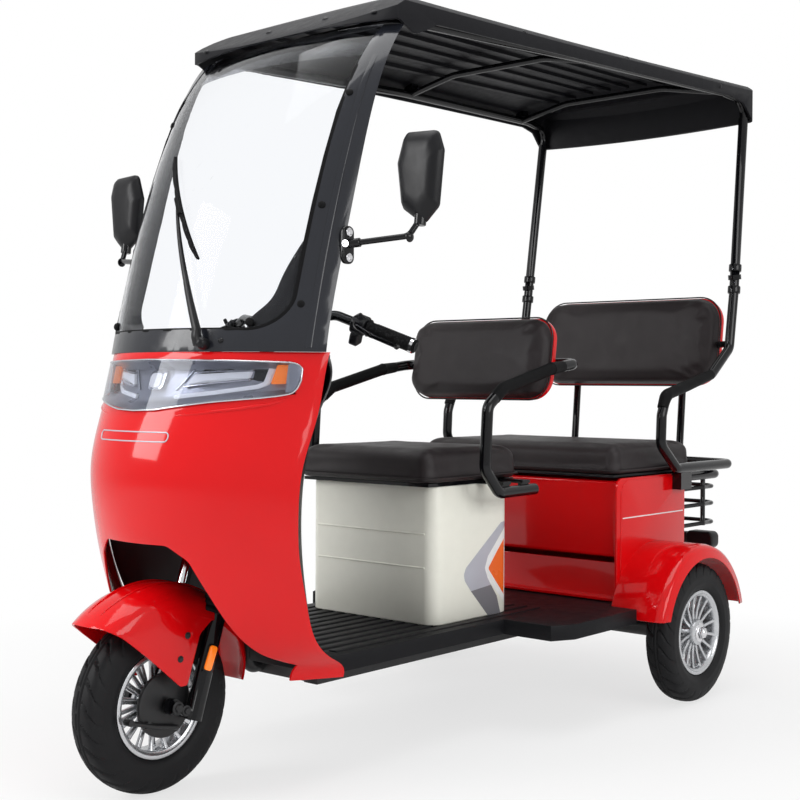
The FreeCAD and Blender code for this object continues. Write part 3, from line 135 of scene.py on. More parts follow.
def effect_group(grain: Grain) -> bpy.types.NodeTree:
    """Build, once, the shader group of a grain.

    Args:
        grain: which effect.

    Returns:
        A group that takes Vector and Scale and gives Height and Mask.
    """
    made = bpy.data.node_groups.get(grain.value)
    if made:
        return made
    tree = bpy.data.node_groups.new(grain.value, "ShaderNodeTree")
    for name, way, kind in (("Vector", "INPUT", "Vector"), ("Scale", "INPUT", "Float"),
                            ("Height", "OUTPUT", "Float"), ("Mask", "OUTPUT", "Float")):
        tree.interface.new_socket(name, in_out=way, socket_type="NodeSocket" + kind)
    source = tree.nodes.new("NodeGroupInput")
    target = tree.nodes.new("NodeGroupOutput")
    graph = Graph(tree)
    vector, scale = source.outputs["Vector"], source.outputs["Scale"]
    cloud = graph.noise(vector, graph.math("MULTIPLY", scale, 0.035), 4.0)
    fine = graph.noise(vector, scale, 2.0)
    if grain is Grain.PAINT:
        height = graph.noise(vector, scale, 0.0)
    elif grain is Grain.LEATHER:
        edges = graph.add("TexVoronoi", {"feature": "DISTANCE_TO_EDGE"}, Vector=vector,
                          Scale=scale)
        pebble = graph.add("MapRange", Value=edges.outputs["Distance"], From_Max=0.22)
        broad = graph.noise(vector, graph.math("MULTIPLY", scale, 0.16))
        creases = graph.add("MapRange", Value=broad, From_Min=0.3, From_Max=0.7)
        height = graph.math("ADD", pebble.outputs[0],
                            graph.math("MULTIPLY", creases.outputs[0], 0.8))
    elif grain is Grain.MOULDED:
        grains = graph.add("TexVoronoi", Vector=vector, Scale=scale).outputs["Distance"]
        height = graph.math("ADD", graph.math("MULTIPLY", grains, 0.7), fine)
    else:
        height = graph.math("ADD", fine, graph.math("MULTIPLY", cloud, 0.6))
    tree.links.new(height, target.inputs["Height"])
    mask = graph.add("MapRange", Value=cloud, From_Min=0.32, From_Max=0.68)
    tree.links.new(mask.outputs[0], target.inputs["Mask"])
    return tree


@dataclass(frozen=True)
class Finish:
    """Everything that one finish shows: colour, gloss, grain and how they vary."""

    name: str
    slot: str
    colour: Point
    roughness: float = 0.4
    metallic: float = 0.0
    coat: float = 0.0
    grain: Grain = Grain.PAINT
    grain_scale: float = 300.0
    grain_depth: float = 0.0001
    shade: float = 0.8
    variation: float = 0.35
    gloss_spread: float = 0.04
    transmission: float = 0.0
    ior: float = 1.45
    emission: float = 0.0
    specular: float = 0.5
    coat_roughness: float = 0.04

    def material(self) -> bpy.types.Material:
        """Build the material, or return it if it is there already."""
        made = bpy.data.materials.get("finish_" + self.name)
        if made:
            return made
        material = bpy.data.materials.new("finish_" + self.name)
        material.use_nodes = True
        graph = Graph(material.node_tree)
        shader = material.node_tree.nodes["Principled BSDF"]
        for name, value in (("Metallic", self.metallic), ("Coat Weight", self.coat),
                            ("Coat Roughness", self.coat_roughness), ("IOR", self.ior),
                            ("Transmission Weight", self.transmission),
                            ("Specular IOR Level", self.specular)):
            shader.inputs[name].default_value = value
        coords = graph.add("TexCoord").outputs["Object"]
        effect = graph.add("Group", {"node_tree": effect_group(self.grain)})
        graph.tree.links.new(coords, effect.inputs["Vector"])
        effect.inputs["Scale"].default_value = self.grain_scale
        amount = graph.math("MULTIPLY", effect.outputs["Mask"], self.variation)
        dark = tuple(channel * self.shade for channel in self.colour)
        colour = graph.add("Mix", {"data_type": "RGBA"}, i0=amount, i6=(*self.colour, 1.0),
                           i7=(*dark, 1.0))
        graph.tree.links.new(colour.outputs[2], shader.inputs["Base Color"])
        gloss = graph.add("MapRange", Value=effect.outputs["Mask"],
                          To_Min=max(0.0, self.roughness - self.gloss_spread),
                          To_Max=self.roughness + self.gloss_spread)
        graph.tree.links.new(gloss.outputs[0], shader.inputs["Roughness"])
        if self.emission:
            graph.tree.links.new(colour.outputs[2], shader.inputs["Emission Color"])
            shader.inputs["Emission Strength"].default_value = self.emission
        bump = graph.add("Bump", Height=effect.outputs["Height"], Strength=0.6,
                         Distance=self.grain_depth)
        graph.tree.links.new(bump.outputs[0], shader.inputs["Normal"])
        return material


RED_PAINT = Finish("red_paint", "red_paint", (0.7, 0.002, 0.004), 0.17, coat=0.5,
                   grain_scale=160.0, grain_depth=0.00004, shade=0.88, specular=0.12)
TUBE_PAINT = Finish("black_tube_paint", "black_steel", (0.004, 0.004, 0.005), 0.16, coat=0.3,
                    grain_scale=260.0, grain_depth=0.00003, specular=0.2)
FRAME_PAINT = Finish("frame_paint", "black_steel", (0.012, 0.012, 0.013), 0.42,
                     grain=Grain.CAST, grain_scale=420.0, grain_depth=0.0002)
CHROME = Finish("chrome", "chrome", (0.82, 0.82, 0.84), 0.08, 1.0, grain=Grain.CAST,
                grain_scale=500.0, grain_depth=0.00002, variation=0.15)
ALLOY = Finish("alloy", "alloy", (0.62, 0.63, 0.65), 0.26, 0.9, grain=Grain.CAST,
               grain_scale=650.0, grain_depth=0.00008, variation=0.3)
SHELL_PLASTIC = Finish("shell_plastic", "black_plastic", (0.0135, 0.015, 0.0205), 0.2, coat=0.25,
                       grain=Grain.MOULDED, grain_scale=1500.0, grain_depth=0.000012,
                       specular=0.4)
ROOF_PLASTIC = Finish("roof_plastic", "black_plastic", (0.0085, 0.0085, 0.0105), 0.42,
                      grain=Grain.MOULDED, grain_scale=1300.0, grain_depth=0.00012,
                      specular=0.15)
MAT_PLASTIC = Finish("floor_plastic", "black_plastic", (0.007, 0.007, 0.0085), 0.48,
                     grain=Grain.MOULDED, grain_scale=900.0, grain_depth=0.0001,
                     variation=0.5, specular=0.18)
DARK_PLASTIC = Finish("dark_plastic", "black_plastic", (0.0065, 0.0065, 0.008), 0.36,
                      grain=Grain.MOULDED, grain_scale=1500.0, grain_depth=0.0001,
                      specular=0.3)
IVORY = Finish("ivory_plastic", "ivory_plastic", (0.86, 0.855, 0.765), 0.34,
               grain=Grain.MOULDED, grain_scale=900.0, grain_depth=0.00005, shade=0.93)
SEAT_HIDE = Finish("seat_hide", "seat_leather", (0.019, 0.0145, 0.0155), 0.42,
                   grain=Grain.LEATHER, grain_scale=620.0, grain_depth=0.00014, shade=0.75,
                   specular=0.3)
TYRE_RUBBER = Finish("tyre_rubber", "tyre_rubber", (0.007, 0.007, 0.008), 0.55,
                     grain=Grain.RUBBER, grain_scale=500.0, grain_depth=0.00008,
                     specular=0.25)
GRIP_RUBBER = Finish("grip_rubber", "black_plastic", (0.005, 0.005, 0.0055), 0.6,
                     grain=Grain.RUBBER, grain_scale=900.0, grain_depth=0.00015,
                     specular=0.12)
SCREEN_CLEAR = Finish("screen_clear", "clear_screen", (0.935, 0.95, 0.975), 0.0,
                      grain_scale=4.0, grain_depth=0.0006, shade=0.98, gloss_spread=0.0,
                      transmission=1.0, ior=1.12)
LAMP_TRAY = Finish("lamp_tray", "lamp_lens", (0.36, 0.37, 0.41), 0.3, 0.5,
                   grain=Grain.CAST, grain_scale=500.0)
LAMP_SMOKE = Finish("lamp_smoke", "lamp_lens", (0.7, 0.72, 0.78), 0.02, grain_scale=6.0,
                    grain_depth=0.0001, shade=0.96, gloss_spread=0.01, transmission=1.0,
                    ior=1.3)
LAMP_SILVER = Finish("lamp_silver", "chrome", (0.6, 0.62, 0.66), 0.22, 0.9, grain=Grain.CAST,
                     grain_scale=600.0, grain_depth=0.00003)
HEAD_TINT = Finish("head_tint", "clear_screen", (0.3, 0.31, 0.34), 0.05, grain_scale=5.0,
                   transmission=1.0, ior=1.1)
LAMP_WHITE = Finish("lamp_white", "lamp_lens", (0.85, 0.86, 0.88), 0.25, emission=0.3)
# Its emission lights the amber lamp lenses and also paints a glow on the fork's reflectors, which
# are no lamp.
AMBER = Finish("amber_lens", "lamp_lens", (0.95, 0.2, 0.008), 0.2, coat=0.6,
               emission=0.55)
TAIL_RED = Finish("tail_red", "lamp_red", (0.32, 0.006, 0.006), 0.15, coat=0.8)
MIRROR_GLASS = Finish("mirror_glass", "chrome", (0.86, 0.87, 0.88), 0.02, 1.0)
SILVER_FILM = Finish("silver_film", "ivory_plastic", (0.5, 0.52, 0.58), 0.35, 0.3)
GREY_FILM = Finish("grey_film", "ivory_plastic", (0.2, 0.2, 0.22), 0.4, 0.2)
WHITE_FILM = Finish("white_film", "ivory_plastic", (0.86, 0.86, 0.86), 0.35)
ORANGE_FILM = Finish("orange_film", "ivory_plastic", (0.9, 0.14, 0.01), 0.3)
BATTERY_CASE = Finish("battery_case", "battery_case", (0.05, 0.05, 0.06), 0.5,
                      grain=Grain.MOULDED)


# Skins

def placed(name: str, data: bpy.types.ID) -> Object:
    """Make an object of some data and link it into the scene."""
    made = bpy.data.objects.new(name, data)
    bpy.context.scene.collection.objects.link(made)
    return made


def smoothed(mesh: bpy.types.Mesh, degrees: float) -> None:
    """Shade a mesh smooth, but for the edges that are sharper than an angle."""
    mesh.polygons.foreach_set("use_smooth", [True] * len(mesh.polygons))
    mesh.set_sharp_from_angle(angle=math.radians(degrees))


@dataclass
class Skin:
    """Points and faces of a mesh, kept as arrays until it becomes an object."""

    points: Array
    quads: Array = field(default_factory=lambda: np.zeros((0, 4), int))
    triangles: Array = field(default_factory=lambda: np.zeros((0, 3), int))

    def __add__(self, other: "Skin") -> "Skin":
        """Both skins as one."""
        shift = len(self.points)
        return Skin(np.vstack([self.points, other.points]),
                    np.vstack([self.quads, other.quads + shift]),
                    np.vstack([self.triangles, other.triangles + shift]))

    def flipped(self) -> "Skin":
        """The same skin with its faces turned the other way."""
        return Skin(self.points, self.quads[:, ::-1], self.triangles[:, ::-1])

    def outward(self) -> "Skin":
        """A closed skin with its faces pointing out, judged by its signed volume."""
        corners = np.vstack([self.triangles, self.quads[:, :3], self.quads[:, [0, 2, 3]]])
        a, b, c = (self.points[corners[:, k]] for k in range(3))
        volume = np.einsum("ij,ij->i", a, np.cross(b, c)).sum()
        return self if volume > 0 else self.flipped()

    def moved(self, offset: Point) -> "Skin":
        """The skin shifted by an offset."""
        return Skin(self.points + np.asarray(offset, float), self.quads, self.triangles)

    def mirrored(self) -> "Skin":
        """The skin's twin on the vehicle's other side."""
        return Skin(self.points * (1.0, -1.0, 1.0), self.quads, self.triangles).flipped()

    def twinned(self) -> "Skin":
        """The skin together with its twin on the vehicle's other side."""
        return self + self.mirrored()

    def turned(self, degrees: float, about: Point) -> "Skin":
        """The skin turned about a sideways axis through a point."""
        turn = np.array(Euler((0, math.radians(degrees), 0)).to_matrix())
        middle = np.asarray(about, float)
        return Skin((self.points - middle) @ turn.T + middle, self.quads, self.triangles)

    def object(self, name: str, smooth: float = 40.0) -> Object:
        """Make the mesh object.

        Args:
            name: name of the piece.
            smooth: edges sharper than this many degrees stay sharp.

        Returns:
            The object, at the origin and in the scene.
        """
        mesh = bpy.data.meshes.new(name)
        faces = self.quads.tolist() + self.triangles.tolist()
        mesh.from_pydata(self.points.tolist(), [], faces)
        smoothed(mesh, smooth)
        mesh.update()
        return placed(name, mesh)


def cells(index: Array) -> Array:
    """Quads between the neighbours in a grid of point numbers, shape (count, 4)."""
    return np.stack([index[:-1, :-1], index[1:, :-1], index[1:, 1:], index[:-1, 1:]],
                    -1).reshape(-1, 4)


def grid(points: Array, wrap_rows: bool = False, wrap_columns: bool = False,
         ends: bool = False) -> Skin:
    """Quads between neighbouring points of a grid of two parameters.

    Args:
        points: shape (rows, columns, 3).
        wrap_rows: joins the last row to the first.
        wrap_columns: joins the last column to the first.
        ends: closes the first and last rows with fans to their middles.

    Returns:
        The skin, turned outward where it is closed.
    """
    rows, columns = points.shape[:2]
    index = np.arange(rows * columns).reshape(rows, columns)
    if wrap_rows:
        index = np.vstack([index, index[:1]])
    if wrap_columns:
        index = np.hstack([index, index[:, :1]])
    skin = Skin(points.reshape(-1, 3), cells(index))
    if ends:
        middles = np.array([points[0].mean(0), points[-1].mean(0)])
        first, last = index[0], index[-1]
        poles = rows * columns
        start = np.stack([first[:-1], first[1:], np.full(len(first) - 1, poles)], -1)
        stop = np.stack([last[1:], last[:-1], np.full(len(last) - 1, poles + 1)], -1)
        skin = Skin(np.vstack([skin.points, middles]), skin.quads, np.vstack([start, stop]))
    closed = wrap_columns and (wrap_rows or ends)
    return skin.outward() if closed else skin


def lofted(rings: Array) -> Skin:
    """Closed skin through rings of as many points each, shape (rings, points, 3)."""
    return grid(rings, wrap_columns=True, ends=True)


def sheet(front: Array, back: Array) -> Skin:
    """Closed sheet between two grids of the same shape, joined at their rims."""
    shift = front.shape[0] * front.shape[1]
    index = np.arange(shift).reshape(front.shape[:2])
    around = np.concatenate([index[0, :-1], index[:-1, -1], index[-1, :0:-1], index[:0:-1, 0]])
    after = np.roll(around, -1)
    face = cells(index)
    rim = np.stack([around, after, after + shift, around + shift], -1)
    return Skin(np.vstack([front.reshape(-1, 3), back.reshape(-1, 3)]),
                np.vstack([face, face[:, ::-1] + shift, rim])).outward()


def unit(vector: Array) -> Array:
    """The vector, or each row's vector, at length one."""
    return vector / np.linalg.norm(vector, axis=-1, keepdims=True)


def rounded_path(corners: Array, radius: float, arc: int = 9, closed: bool = False) -> Array:
    """Straight runs joined by circular arcs that are tangent to both runs.

    Args:
        corners: the points where the runs meet.
        radius: radius of each arc, less where its runs are too short.
        arc: points of each arc.
        closed: joins the last run to the first.

    Returns:
        The points of the path.
    """
    corners = np.asarray(corners, float)
    ring = np.vstack([corners[-1:], corners, corners[:1]]) if closed else corners
    found = [] if closed else [corners[:1]]
    for before, corner, after in zip(ring, ring[1:], ring[2:]):
        incoming, outgoing = unit(corner - before), unit(after - corner)
        turn = math.acos(float(np.clip(incoming @ outgoing, -1, 1)))
        if turn < 0.01:
            found.append(corner[None])
            continue
        room = 0.499 * min(np.linalg.norm(corner - before), np.linalg.norm(after - corner))
        bend = min(radius, room / math.tan(turn / 2))
        towards = unit(outgoing - incoming * math.cos(turn))
        start = corner - incoming * bend * math.tan(turn / 2)
        angle = np.linspace(0, turn, arc)[:, None]
        found.append(start + bend * (towards * (1 - np.cos(angle)) + incoming * np.sin(angle)))
    if not closed:
        found.append(corners[-1:])
    return np.vstack(found)


def followed(line: Array, places: Array, marks: Array | None = None) -> Array:
    """Points of a line at places along it.

    Args:
        line: its corners, shape (k, n).
        places: where it is read.
        marks: places of its corners, 0, 1, 2 and so on if none are given.

    Returns:
        The points, on straight runs between the corners.
    """
    line = np.asarray(line, float)
    marks = np.arange(len(line)) if marks is None else marks
    return np.stack([np.interp(places, marks, column) for column in line.T], -1)


def ring(count: int, radius: float = 1.0) -> Array:
    """Points of a circle in a plane, shape (count, 2)."""
    angle = np.linspace(0, 2 * math.pi, count, endpoint=False)
    return radius * np.stack([np.cos(angle), np.sin(angle)], -1)


def sweep(path: Array, section: Array, size: Array | float = 1.0) -> Skin:
    """Carry a closed section along a path without twist and close its ends.

    Args:
        path: points of the path.
        section: outline in the plane square to the path, shape (k, 2).
        size: factor of the section at each point of the path.

    Returns:
        The closed skin: path point + size * (a * side + b * up) for each section point (a, b).
    """
    tangent = unit(np.gradient(path, axis=0))
    helper = np.array([0.0, 1.0, 0.0]) if abs(tangent[0][1]) < 0.9 else np.array([1.0, 0, 0])
    side = unit(np.cross(helper, tangent[0]))
    sides = [side]
    for along in tangent[1:]:
        side = unit(side - along * (side @ along))
        sides.append(side)
    sides = np.array(sides)
    up = np.cross(tangent, sides)
    scale = np.broadcast_to(np.asarray(size, float), (len(path),))[:, None, None]
    points = path[:, None] + scale * (section[None, :, :1] * sides[:, None]
                                      + section[None, :, 1:] * up[:, None])
    return lofted(points)


def tube(corners: Array, radius: float, bend: float = 0.03, sides: int = 20,
         arc: int = 9) -> Skin:
    """Round bar along rounded runs, with softened ends."""
    path = rounded_path(np.asarray(corners, float), bend, arc)
    lip = min(radius * 0.3, 0.0015)
    start = path[0] + unit(path[1] - path[0]) * lip
    stop = path[-1] + unit(path[-2] - path[-1]) * lip
    path = np.vstack([path[:1], start, path[1:-1], stop, path[-1:]])
    size = np.ones(len(path))
    size[[0, -1]] = 1 - lip / radius
    return sweep(path, ring(sides, radius), size)


def revolved(profile: Array, middle: Point, steps: int = 48, closed: bool = True,
             axis: Point = (0, 1, 0)) -> Skin:
    """Turn a profile about an axis.

    Args:
        profile: distance from the axis and place along it, shape (k, 2).
        middle: point of the axis where the second value is zero.
        steps: points round the axis.
        closed: the profile is a loop; otherwise its ends lie on the axis.
        axis: direction of the axis.

    Returns:
        The closed skin: middle + r * (cos t * side + sin t * up) + a * axis.
    """
    profile = np.asarray(profile, float)
    along = unit(np.asarray(axis, float))
    helper = np.array([0.0, 0, 1]) if abs(along[2]) < 0.9 else np.array([1.0, 0, 0])
    side = unit(np.cross(along, helper))
    up = np.cross(side, along)
    circle = ring(steps)
    out = circle[:, :1, None] * side + circle[:, 1:, None] * up
    points = profile[None, :, :1] * out + profile[None, :, 1:] * along + np.asarray(middle)
    if closed:
        return grid(points, wrap_rows=True, wrap_columns=True)
    return lofted(np.swapaxes(points, 0, 1))


def rounded_outline(width: float, height: float, radius: float, arc: int = 7) -> Array:
    """Rectangle with round corners about the origin, shape (k, 2)."""
    a, b = width / 2, height / 2
    corners = np.array([(-a, -b, 0), (a, -b, 0), (a, b, 0), (-a, b, 0)])
    return rounded_path(corners, max(radius, 1e-4), arc, closed=True)[:, :2]


@dataclass(frozen=True)
class Plane:
    """A place in space with two directions, for outlines drawn in two dimensions."""

    origin: Point
    right: Point
    up: Point

    def place(self, outline: Array, depth: Array | float = 0.0) -> Array:
        """Points of an outline, raised by a depth along the plane's normal."""
        right, up = unit(np.asarray(self.right, float)), unit(np.asarray(self.up, float))
        normal = np.cross(right, up)
        flat = outline[..., :1] * right + outline[..., 1:2] * up
        return np.asarray(self.origin) + flat + np.asarray(depth)[..., None] * normal


def stacked(plane: Plane, outline: Array, rings: tuple[tuple[float, float], ...]) -> Skin:
    """Close a shape through copies of an outline, each set in and raised.

    Args:
        plane: where the outline lies.
        outline: closed outline about its own origin, shape (k, 2).
        rings: how far each copy is set in, and its height over the plane.

    Returns:
        The closed skin: each ring is the outline moved inward along its own normals.
    """
    ahead = np.roll(outline, -1, 0) - np.roll(outline, 1, 0)
    inward = unit(np.stack([-ahead[:, 1], ahead[:, 0]], -1))
    area = np.sum(outline[:, 0] * np.roll(outline[:, 1], -1)
                  - outline[:, 1] * np.roll(outline[:, 0], -1))
    inward = inward if area > 0 else -inward
    rows = [plane.place(outline + inward * inset, np.full(len(outline), height))
            for inset, height in rings]
    return lofted(np.array(rows))


def padded_edges(thick: float, radius: float, steps: int = 4) -> tuple[tuple[float, float], ...]:
    """Rings of a plate whose two rims are quarter circles of a radius."""
    turn = np.linspace(0, math.pi / 2, steps + 1)
    low = [(radius * (1 - math.sin(t)), radius * (1 - math.cos(t))) for t in turn]
    high = [(inset, thick - height) for inset, height in reversed(low)]
    return tuple(low + high)


def slab(plane: Plane, size: Point, thick: float, rim: float) -> Skin:
    """Plate on a plane, its size given as width, height and corner radius."""
    return stacked(plane, rounded_outline(*size), padded_edges(thick, rim))


def between(low: Point, high: Point, radius: float = 0.002, edge: float = 0.0015) -> Skin:
    """Block between two corners, upright edges and rims rounded."""
    low, high = np.asarray(low, float), np.asarray(high, float)
    size = high - low
    middle = (low + high) / 2
    plane = Plane((middle[0], middle[1], low[2]), (1, 0, 0), (0, 1, 0))
    outline = rounded_outline(size[0], size[1], min(radius, 0.49 * min(size[:2])), 5)
    return stacked(plane, outline, padded_edges(size[2], min(edge, 0.49 * size[2]), 2))


def spline(places: Array, values: Array, wanted: Array) -> Array:
    """Natural cubic spline: its second derivatives solve a band matrix and end at zero.

    Args:
        places: rising places of the values.
        values: what the spline passes through.
        wanted: places where it is read.

    Returns:
        The values at the wanted places.
    """
    places, values = np.asarray(places, float), np.asarray(values, float)
    step, count = np.diff(places), len(places)
    slope = np.diff(values) / step
    matrix, right = np.eye(count), np.zeros(count)
    inner = np.arange(1, count - 1)
    matrix[inner, inner - 1] = step[:-1]
    matrix[inner, inner] = 2 * (step[:-1] + step[1:])
    matrix[inner, inner + 1] = step[1:]
    right[inner] = 6 * (slope[1:] - slope[:-1])
    bend = np.linalg.solve(matrix, right)
    k = np.clip(np.searchsorted(places, wanted) - 1, 0, count - 2)
    t = wanted - places[k]
    return (values[k] + t * (slope[k] - step[k] * (2 * bend[k] + bend[k + 1]) / 6)
            + t ** 2 * bend[k] / 2 + t ** 3 * (bend[k + 1] - bend[k]) / (6 * step[k]))


# Pieces

def piece(name: str, skin: Skin, finish: Finish, body: str, replaces: tuple[str, ...] = (),
          smooth: float = 40.0) -> Object:
    """Make a finished piece that rides on a body.

    Args:
        name: name of the piece.
        skin: its surface.
        finish: its finish.
        body: the body that it moves with.
        replaces: CAD nodes that it stands for.
        smooth: edges sharper than this many degrees stay sharp.

    Returns:
        The piece.
    """
    return adopt(skin.object(name, smooth), finish, body, replaces)


def pieces(body: str, *rows: tuple) -> None:
    """Make the pieces of one body.

    Args:
        body: the body that they move with.
        rows: name, skin and finish of each piece, then the CAD nodes that it stands for.
    """
    for name, skin, finish, *nodes in rows:
        piece(name, skin, finish, body, tuple(nodes))


def adopt(made: Object, finish: Finish, body: str, replaces: tuple[str, ...] = ()) -> Object:
    """Give an object its finish and its body, and report it."""
    made.data.materials.clear()
    made.data.materials.append(finish.material())
    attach(made, body)
    if replaces:
        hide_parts(*replaces)
    LOG.info("%s: %d faces on %s", made.name, len(made.data.polygons), body)
    return made


def applied(made: Object) -> Object:
    """Turn an object's modifiers into its mesh."""
    graph = bpy.context.evaluated_depsgraph_get()
    mesh = bpy.data.meshes.new_from_object(made.evaluated_get(graph))
    made.modifiers.clear()
    made.data = mesh
    return made


def mesh_points(made: Object) -> Array:
    """Points of an object's mesh, shape (count, 3)."""
    found = np.empty(len(made.data.vertices) * 3)
    made.data.vertices.foreach_get("co", found)
    return found.reshape(-1, 3)


def refined(node: str, finish: Finish, edge: float = 0.0, smooth: float = 35.0) -> Object:
    """Stand a merged copy of a CAD node in for it, with softened edges.

    Args:
        node: name of the node.
        finish: its finish.
        edge: width of the rounding along sharp edges; none at zero.
        smooth: edges sharper than this many degrees stay sharp.

    Returns:
        The copy, which rides on the node's body.
    """
    mesh = frame["nodes"][node].data.copy()
    shape = bmesh.new()
    shape.from_mesh(mesh)
    bmesh.ops.remove_doubles(shape, verts=shape.verts, dist=2e-5)
    bmesh.ops.dissolve_limit(shape, angle_limit=math.radians(0.8), verts=shape.verts,
                             edges=shape.edges)
    shape.to_mesh(mesh)
    shape.free()
    made = placed(node + "_skin", mesh)
    if edge:
        rim = made.modifiers.new("rim", "BEVEL")
        rim.width = edge
        rim.segments = 2
        rim.limit_method = "ANGLE"
        rim.angle_limit = math.radians(42)
        rim.use_clamp_overlap = True
        applied(made)
    smoothed(made.data, smooth)
    return adopt(made, finish, body_of(frame["nodes"][node])[0], (node,))


def joined(skins: list[Skin]) -> Skin:
    """Many skins as one."""
    total = skins[0]
    for skin in skins[1:]:
        total = total + skin
    return total


def bolt(place: Point, axis: Point, radius: float = 0.006, height: float = 0.004,
         sides: int = 6) -> Skin:
    """Screw head on a washer: a prism with a chamfer over a thin disc."""
    head = revolved([(0, 0), (radius, 0), (radius, height * 0.75), (radius * 0.85, height),
                     (0, height)], place, sides, False, axis)
    washer = revolved([(0, -0.0005), (radius * 1.5, -0.0005), (radius * 1.5, height * 0.22),
                       (radius * 1.4, height * 0.3), (0, height * 0.3)], place, 20, False, axis)
    return head + washer


def dome(place: Point, axis: Point, radius: float, height: float) -> Skin:
    """Round button: a quarter of an ellipse turned about its axis."""
    turn = np.linspace(0, math.pi / 2, 6)
    profile = np.stack([radius * np.cos(turn), height * np.sin(turn)], -1)
    return revolved(np.vstack([[(0, -0.001), (radius, -0.001)], profile]), place, 24, False, axis)


@dataclass(frozen=True)
class Bow:
    """Skin that is bowed in plan, made of arcs through levels like the CAD nose and screen."""

    levels: tuple[tuple[float, float, float, float], ...]
    share: float = 0.62
    drop: float = 0.335

    def front(self, side: Array, height: Array) -> Array:
        """Forward place of the skin.

        In plan a nose arc has its sagitta on the middle line and reaches a share of the half
        width; a second arc leaves it tangent and ends on the side edge. Nose, edge and half
        width follow splines over the height.

        Args:
            side: sideways places, in metres.
            height: heights, in metres.

        Returns:
            The forward places, in metres.
        """
        side = np.abs(np.asarray(side, float)) / MM
        height = np.asarray(height, float) / MM
        table = np.array(self.levels, float)
        nose, edge, half = (spline(table[:, 0], table[:, k], height) for k in (1, 2, 3))
        sagitta, reach = self.drop * (nose - edge), self.share * half
        radius = (sagitta ** 2 + reach ** 2) / (2 * sagitta)
        inner = nose - radius + np.sqrt(np.maximum(radius ** 2 - side ** 2, 0))
        shoulder = nose - sagitta
        normal_x, normal_y = (shoulder - nose + radius) / radius, reach / radius
        run_x, run_y = edge - shoulder, half - reach
        second = -(run_x ** 2 + run_y ** 2) / (2 * (normal_x * run_x + normal_y * run_y))
        middle_x, middle_y = shoulder - normal_x * second, reach - normal_y * second
        outer = middle_x + np.sqrt(np.maximum(second ** 2 - (side - middle_y) ** 2, 0))
        return np.where(side <= reach, inner, outer) * MM

    def points(self, outline: Array, proud: Array | float) -> Array:
        """Points (side, height) laid on the skin, in millimetres, and raised forward.

        Args:
            outline: shape (..., 2), side and height in millimetres.
            proud: how far in front of the skin they lie, in millimetres.

        Returns:
            The points in metres.
        """
        side, height = outline[..., 0] * MM, outline[..., 1] * MM
        return np.stack([self.front(side, height) + np.asarray(proud) * MM, side, height], -1)

    def relief(self, outline: Array, low: float, high: float, radius: float = 1.5) -> Skin:
        """Block with a convex outline between two depths of the skin, corners rounded."""
        flat = np.column_stack([np.asarray(outline, float), np.zeros(len(outline))])
        edge = rounded_path(flat, radius, 4, closed=True)[:, :2]
        middle = edge.mean(0)
        rows = [self.points(middle + (edge - middle) * size, depth)
                for size, depth in ((1, low), (1, high - 0.4), (0.97, high), (0.5, high))]
        return lofted(np.array(rows))

    def strip(self, path: Array, low: float, high: float, wide: float) -> Skin:
        """Bar that follows a line on the skin: a rectangle carried along it."""
        path = np.asarray(path, float)
        along = unit(np.gradient(path, axis=0))
        across = np.stack([-along[:, 1], along[:, 0]], -1) * wide / 2
        corners = ((1, low), (1, high - 0.3), (0.8, high), (-0.8, high), (-1, high - 0.3),
                   (-1, low))
        rows = [self.points(path + across * size, depth) for size, depth in corners]
        return lofted(np.swapaxes(np.array(rows), 0, 1))


NOSE = Bow(((229, 858, 598, 266), (274.3, 882, 640, 278), (332, 906, 716, 296),
            (416, 928, 754, 308), (500, 948, 777, 312), (590, 968, 783, 314),
            (680, 975, 776, 318), (795, 945, 739, 326), (904, 905, 718, 333),
            (915.7, 901, 714, 334)))
SCREEN = Bow(((916, 900, 728, 336), (1080, 862, 690, 334), (1240, 812, 645, 333),
              (1400, 738, 597, 331), (1530, 645, 545, 329), (1640, 515, 470, 327)))


@dataclass(frozen=True)
class Steering:
    """Steering axis: places are given along it, ahead of it and to the side, in millimetres."""

    foot: Point = (870, 0, 187)
    up: Point = (-0.3746, 0, 0.9272)
    ahead: Point = (0.9272, 0, 0.3746)

    def at(self, along: float, side: float = 0.0, forward: float = 0.0) -> Array:
        """Point in metres."""
        return MM * (np.array(self.foot) + along * np.array(self.up)
                     + forward * np.array(self.ahead) + np.array((0, side, 0)))


# Sub-assemblies

@dataclass(frozen=True)
class PlainNodes:
    """Nodes whose CAD shape is right: merged, with softened edges and finished."""

    rows: tuple[tuple[Finish, float, tuple[str, ...]], ...] = (
        (FRAME_PAINT, 0.0015, ("main_frame", "rear_axle", "leaf_springs", "front_brake_plate",
                               "rear_bumper")),
        (TUBE_PAINT, 0.0, ("fork", "handlebar", "front_seat_frame", "rear_seat_frame",
                           "rear_carrier", "roof_frame", "roof_bows")),
        (CHROME, 0.0, ("fork_tubes",)),
        (DARK_PLASTIC, 0.001, ("dashboard", "leg_shield", "rear_seat_pan")),
        (MAT_PLASTIC, 0.0012, ("floor_board",)),
        (SHELL_PLASTIC, 0.0016, ("windscreen_frame",)),
        (ROOF_PLASTIC, 0.0016, ("roof_panel",)),
        (RED_PAINT, 0.0014, ("front_fender", "rear_fender_left", "rear_fender_right",
                             "front_fairing", "rear_box", "box_flap", "front_backrest_shell",
                             "rear_backrest_shell")),
        (IVORY, 0.003, ("seat_barrel",)),
        (BATTERY_CASE, 0.003, ("battery_pack",)),
        (SCREEN_CLEAR, 0.0, ("windscreen",)))

    def build(self) -> None:
        """Give each node its finish, with edges rounded by the width of its row."""
        for finish, edge, names in self.rows:
            for name in names:
                refined(name, finish, edge)


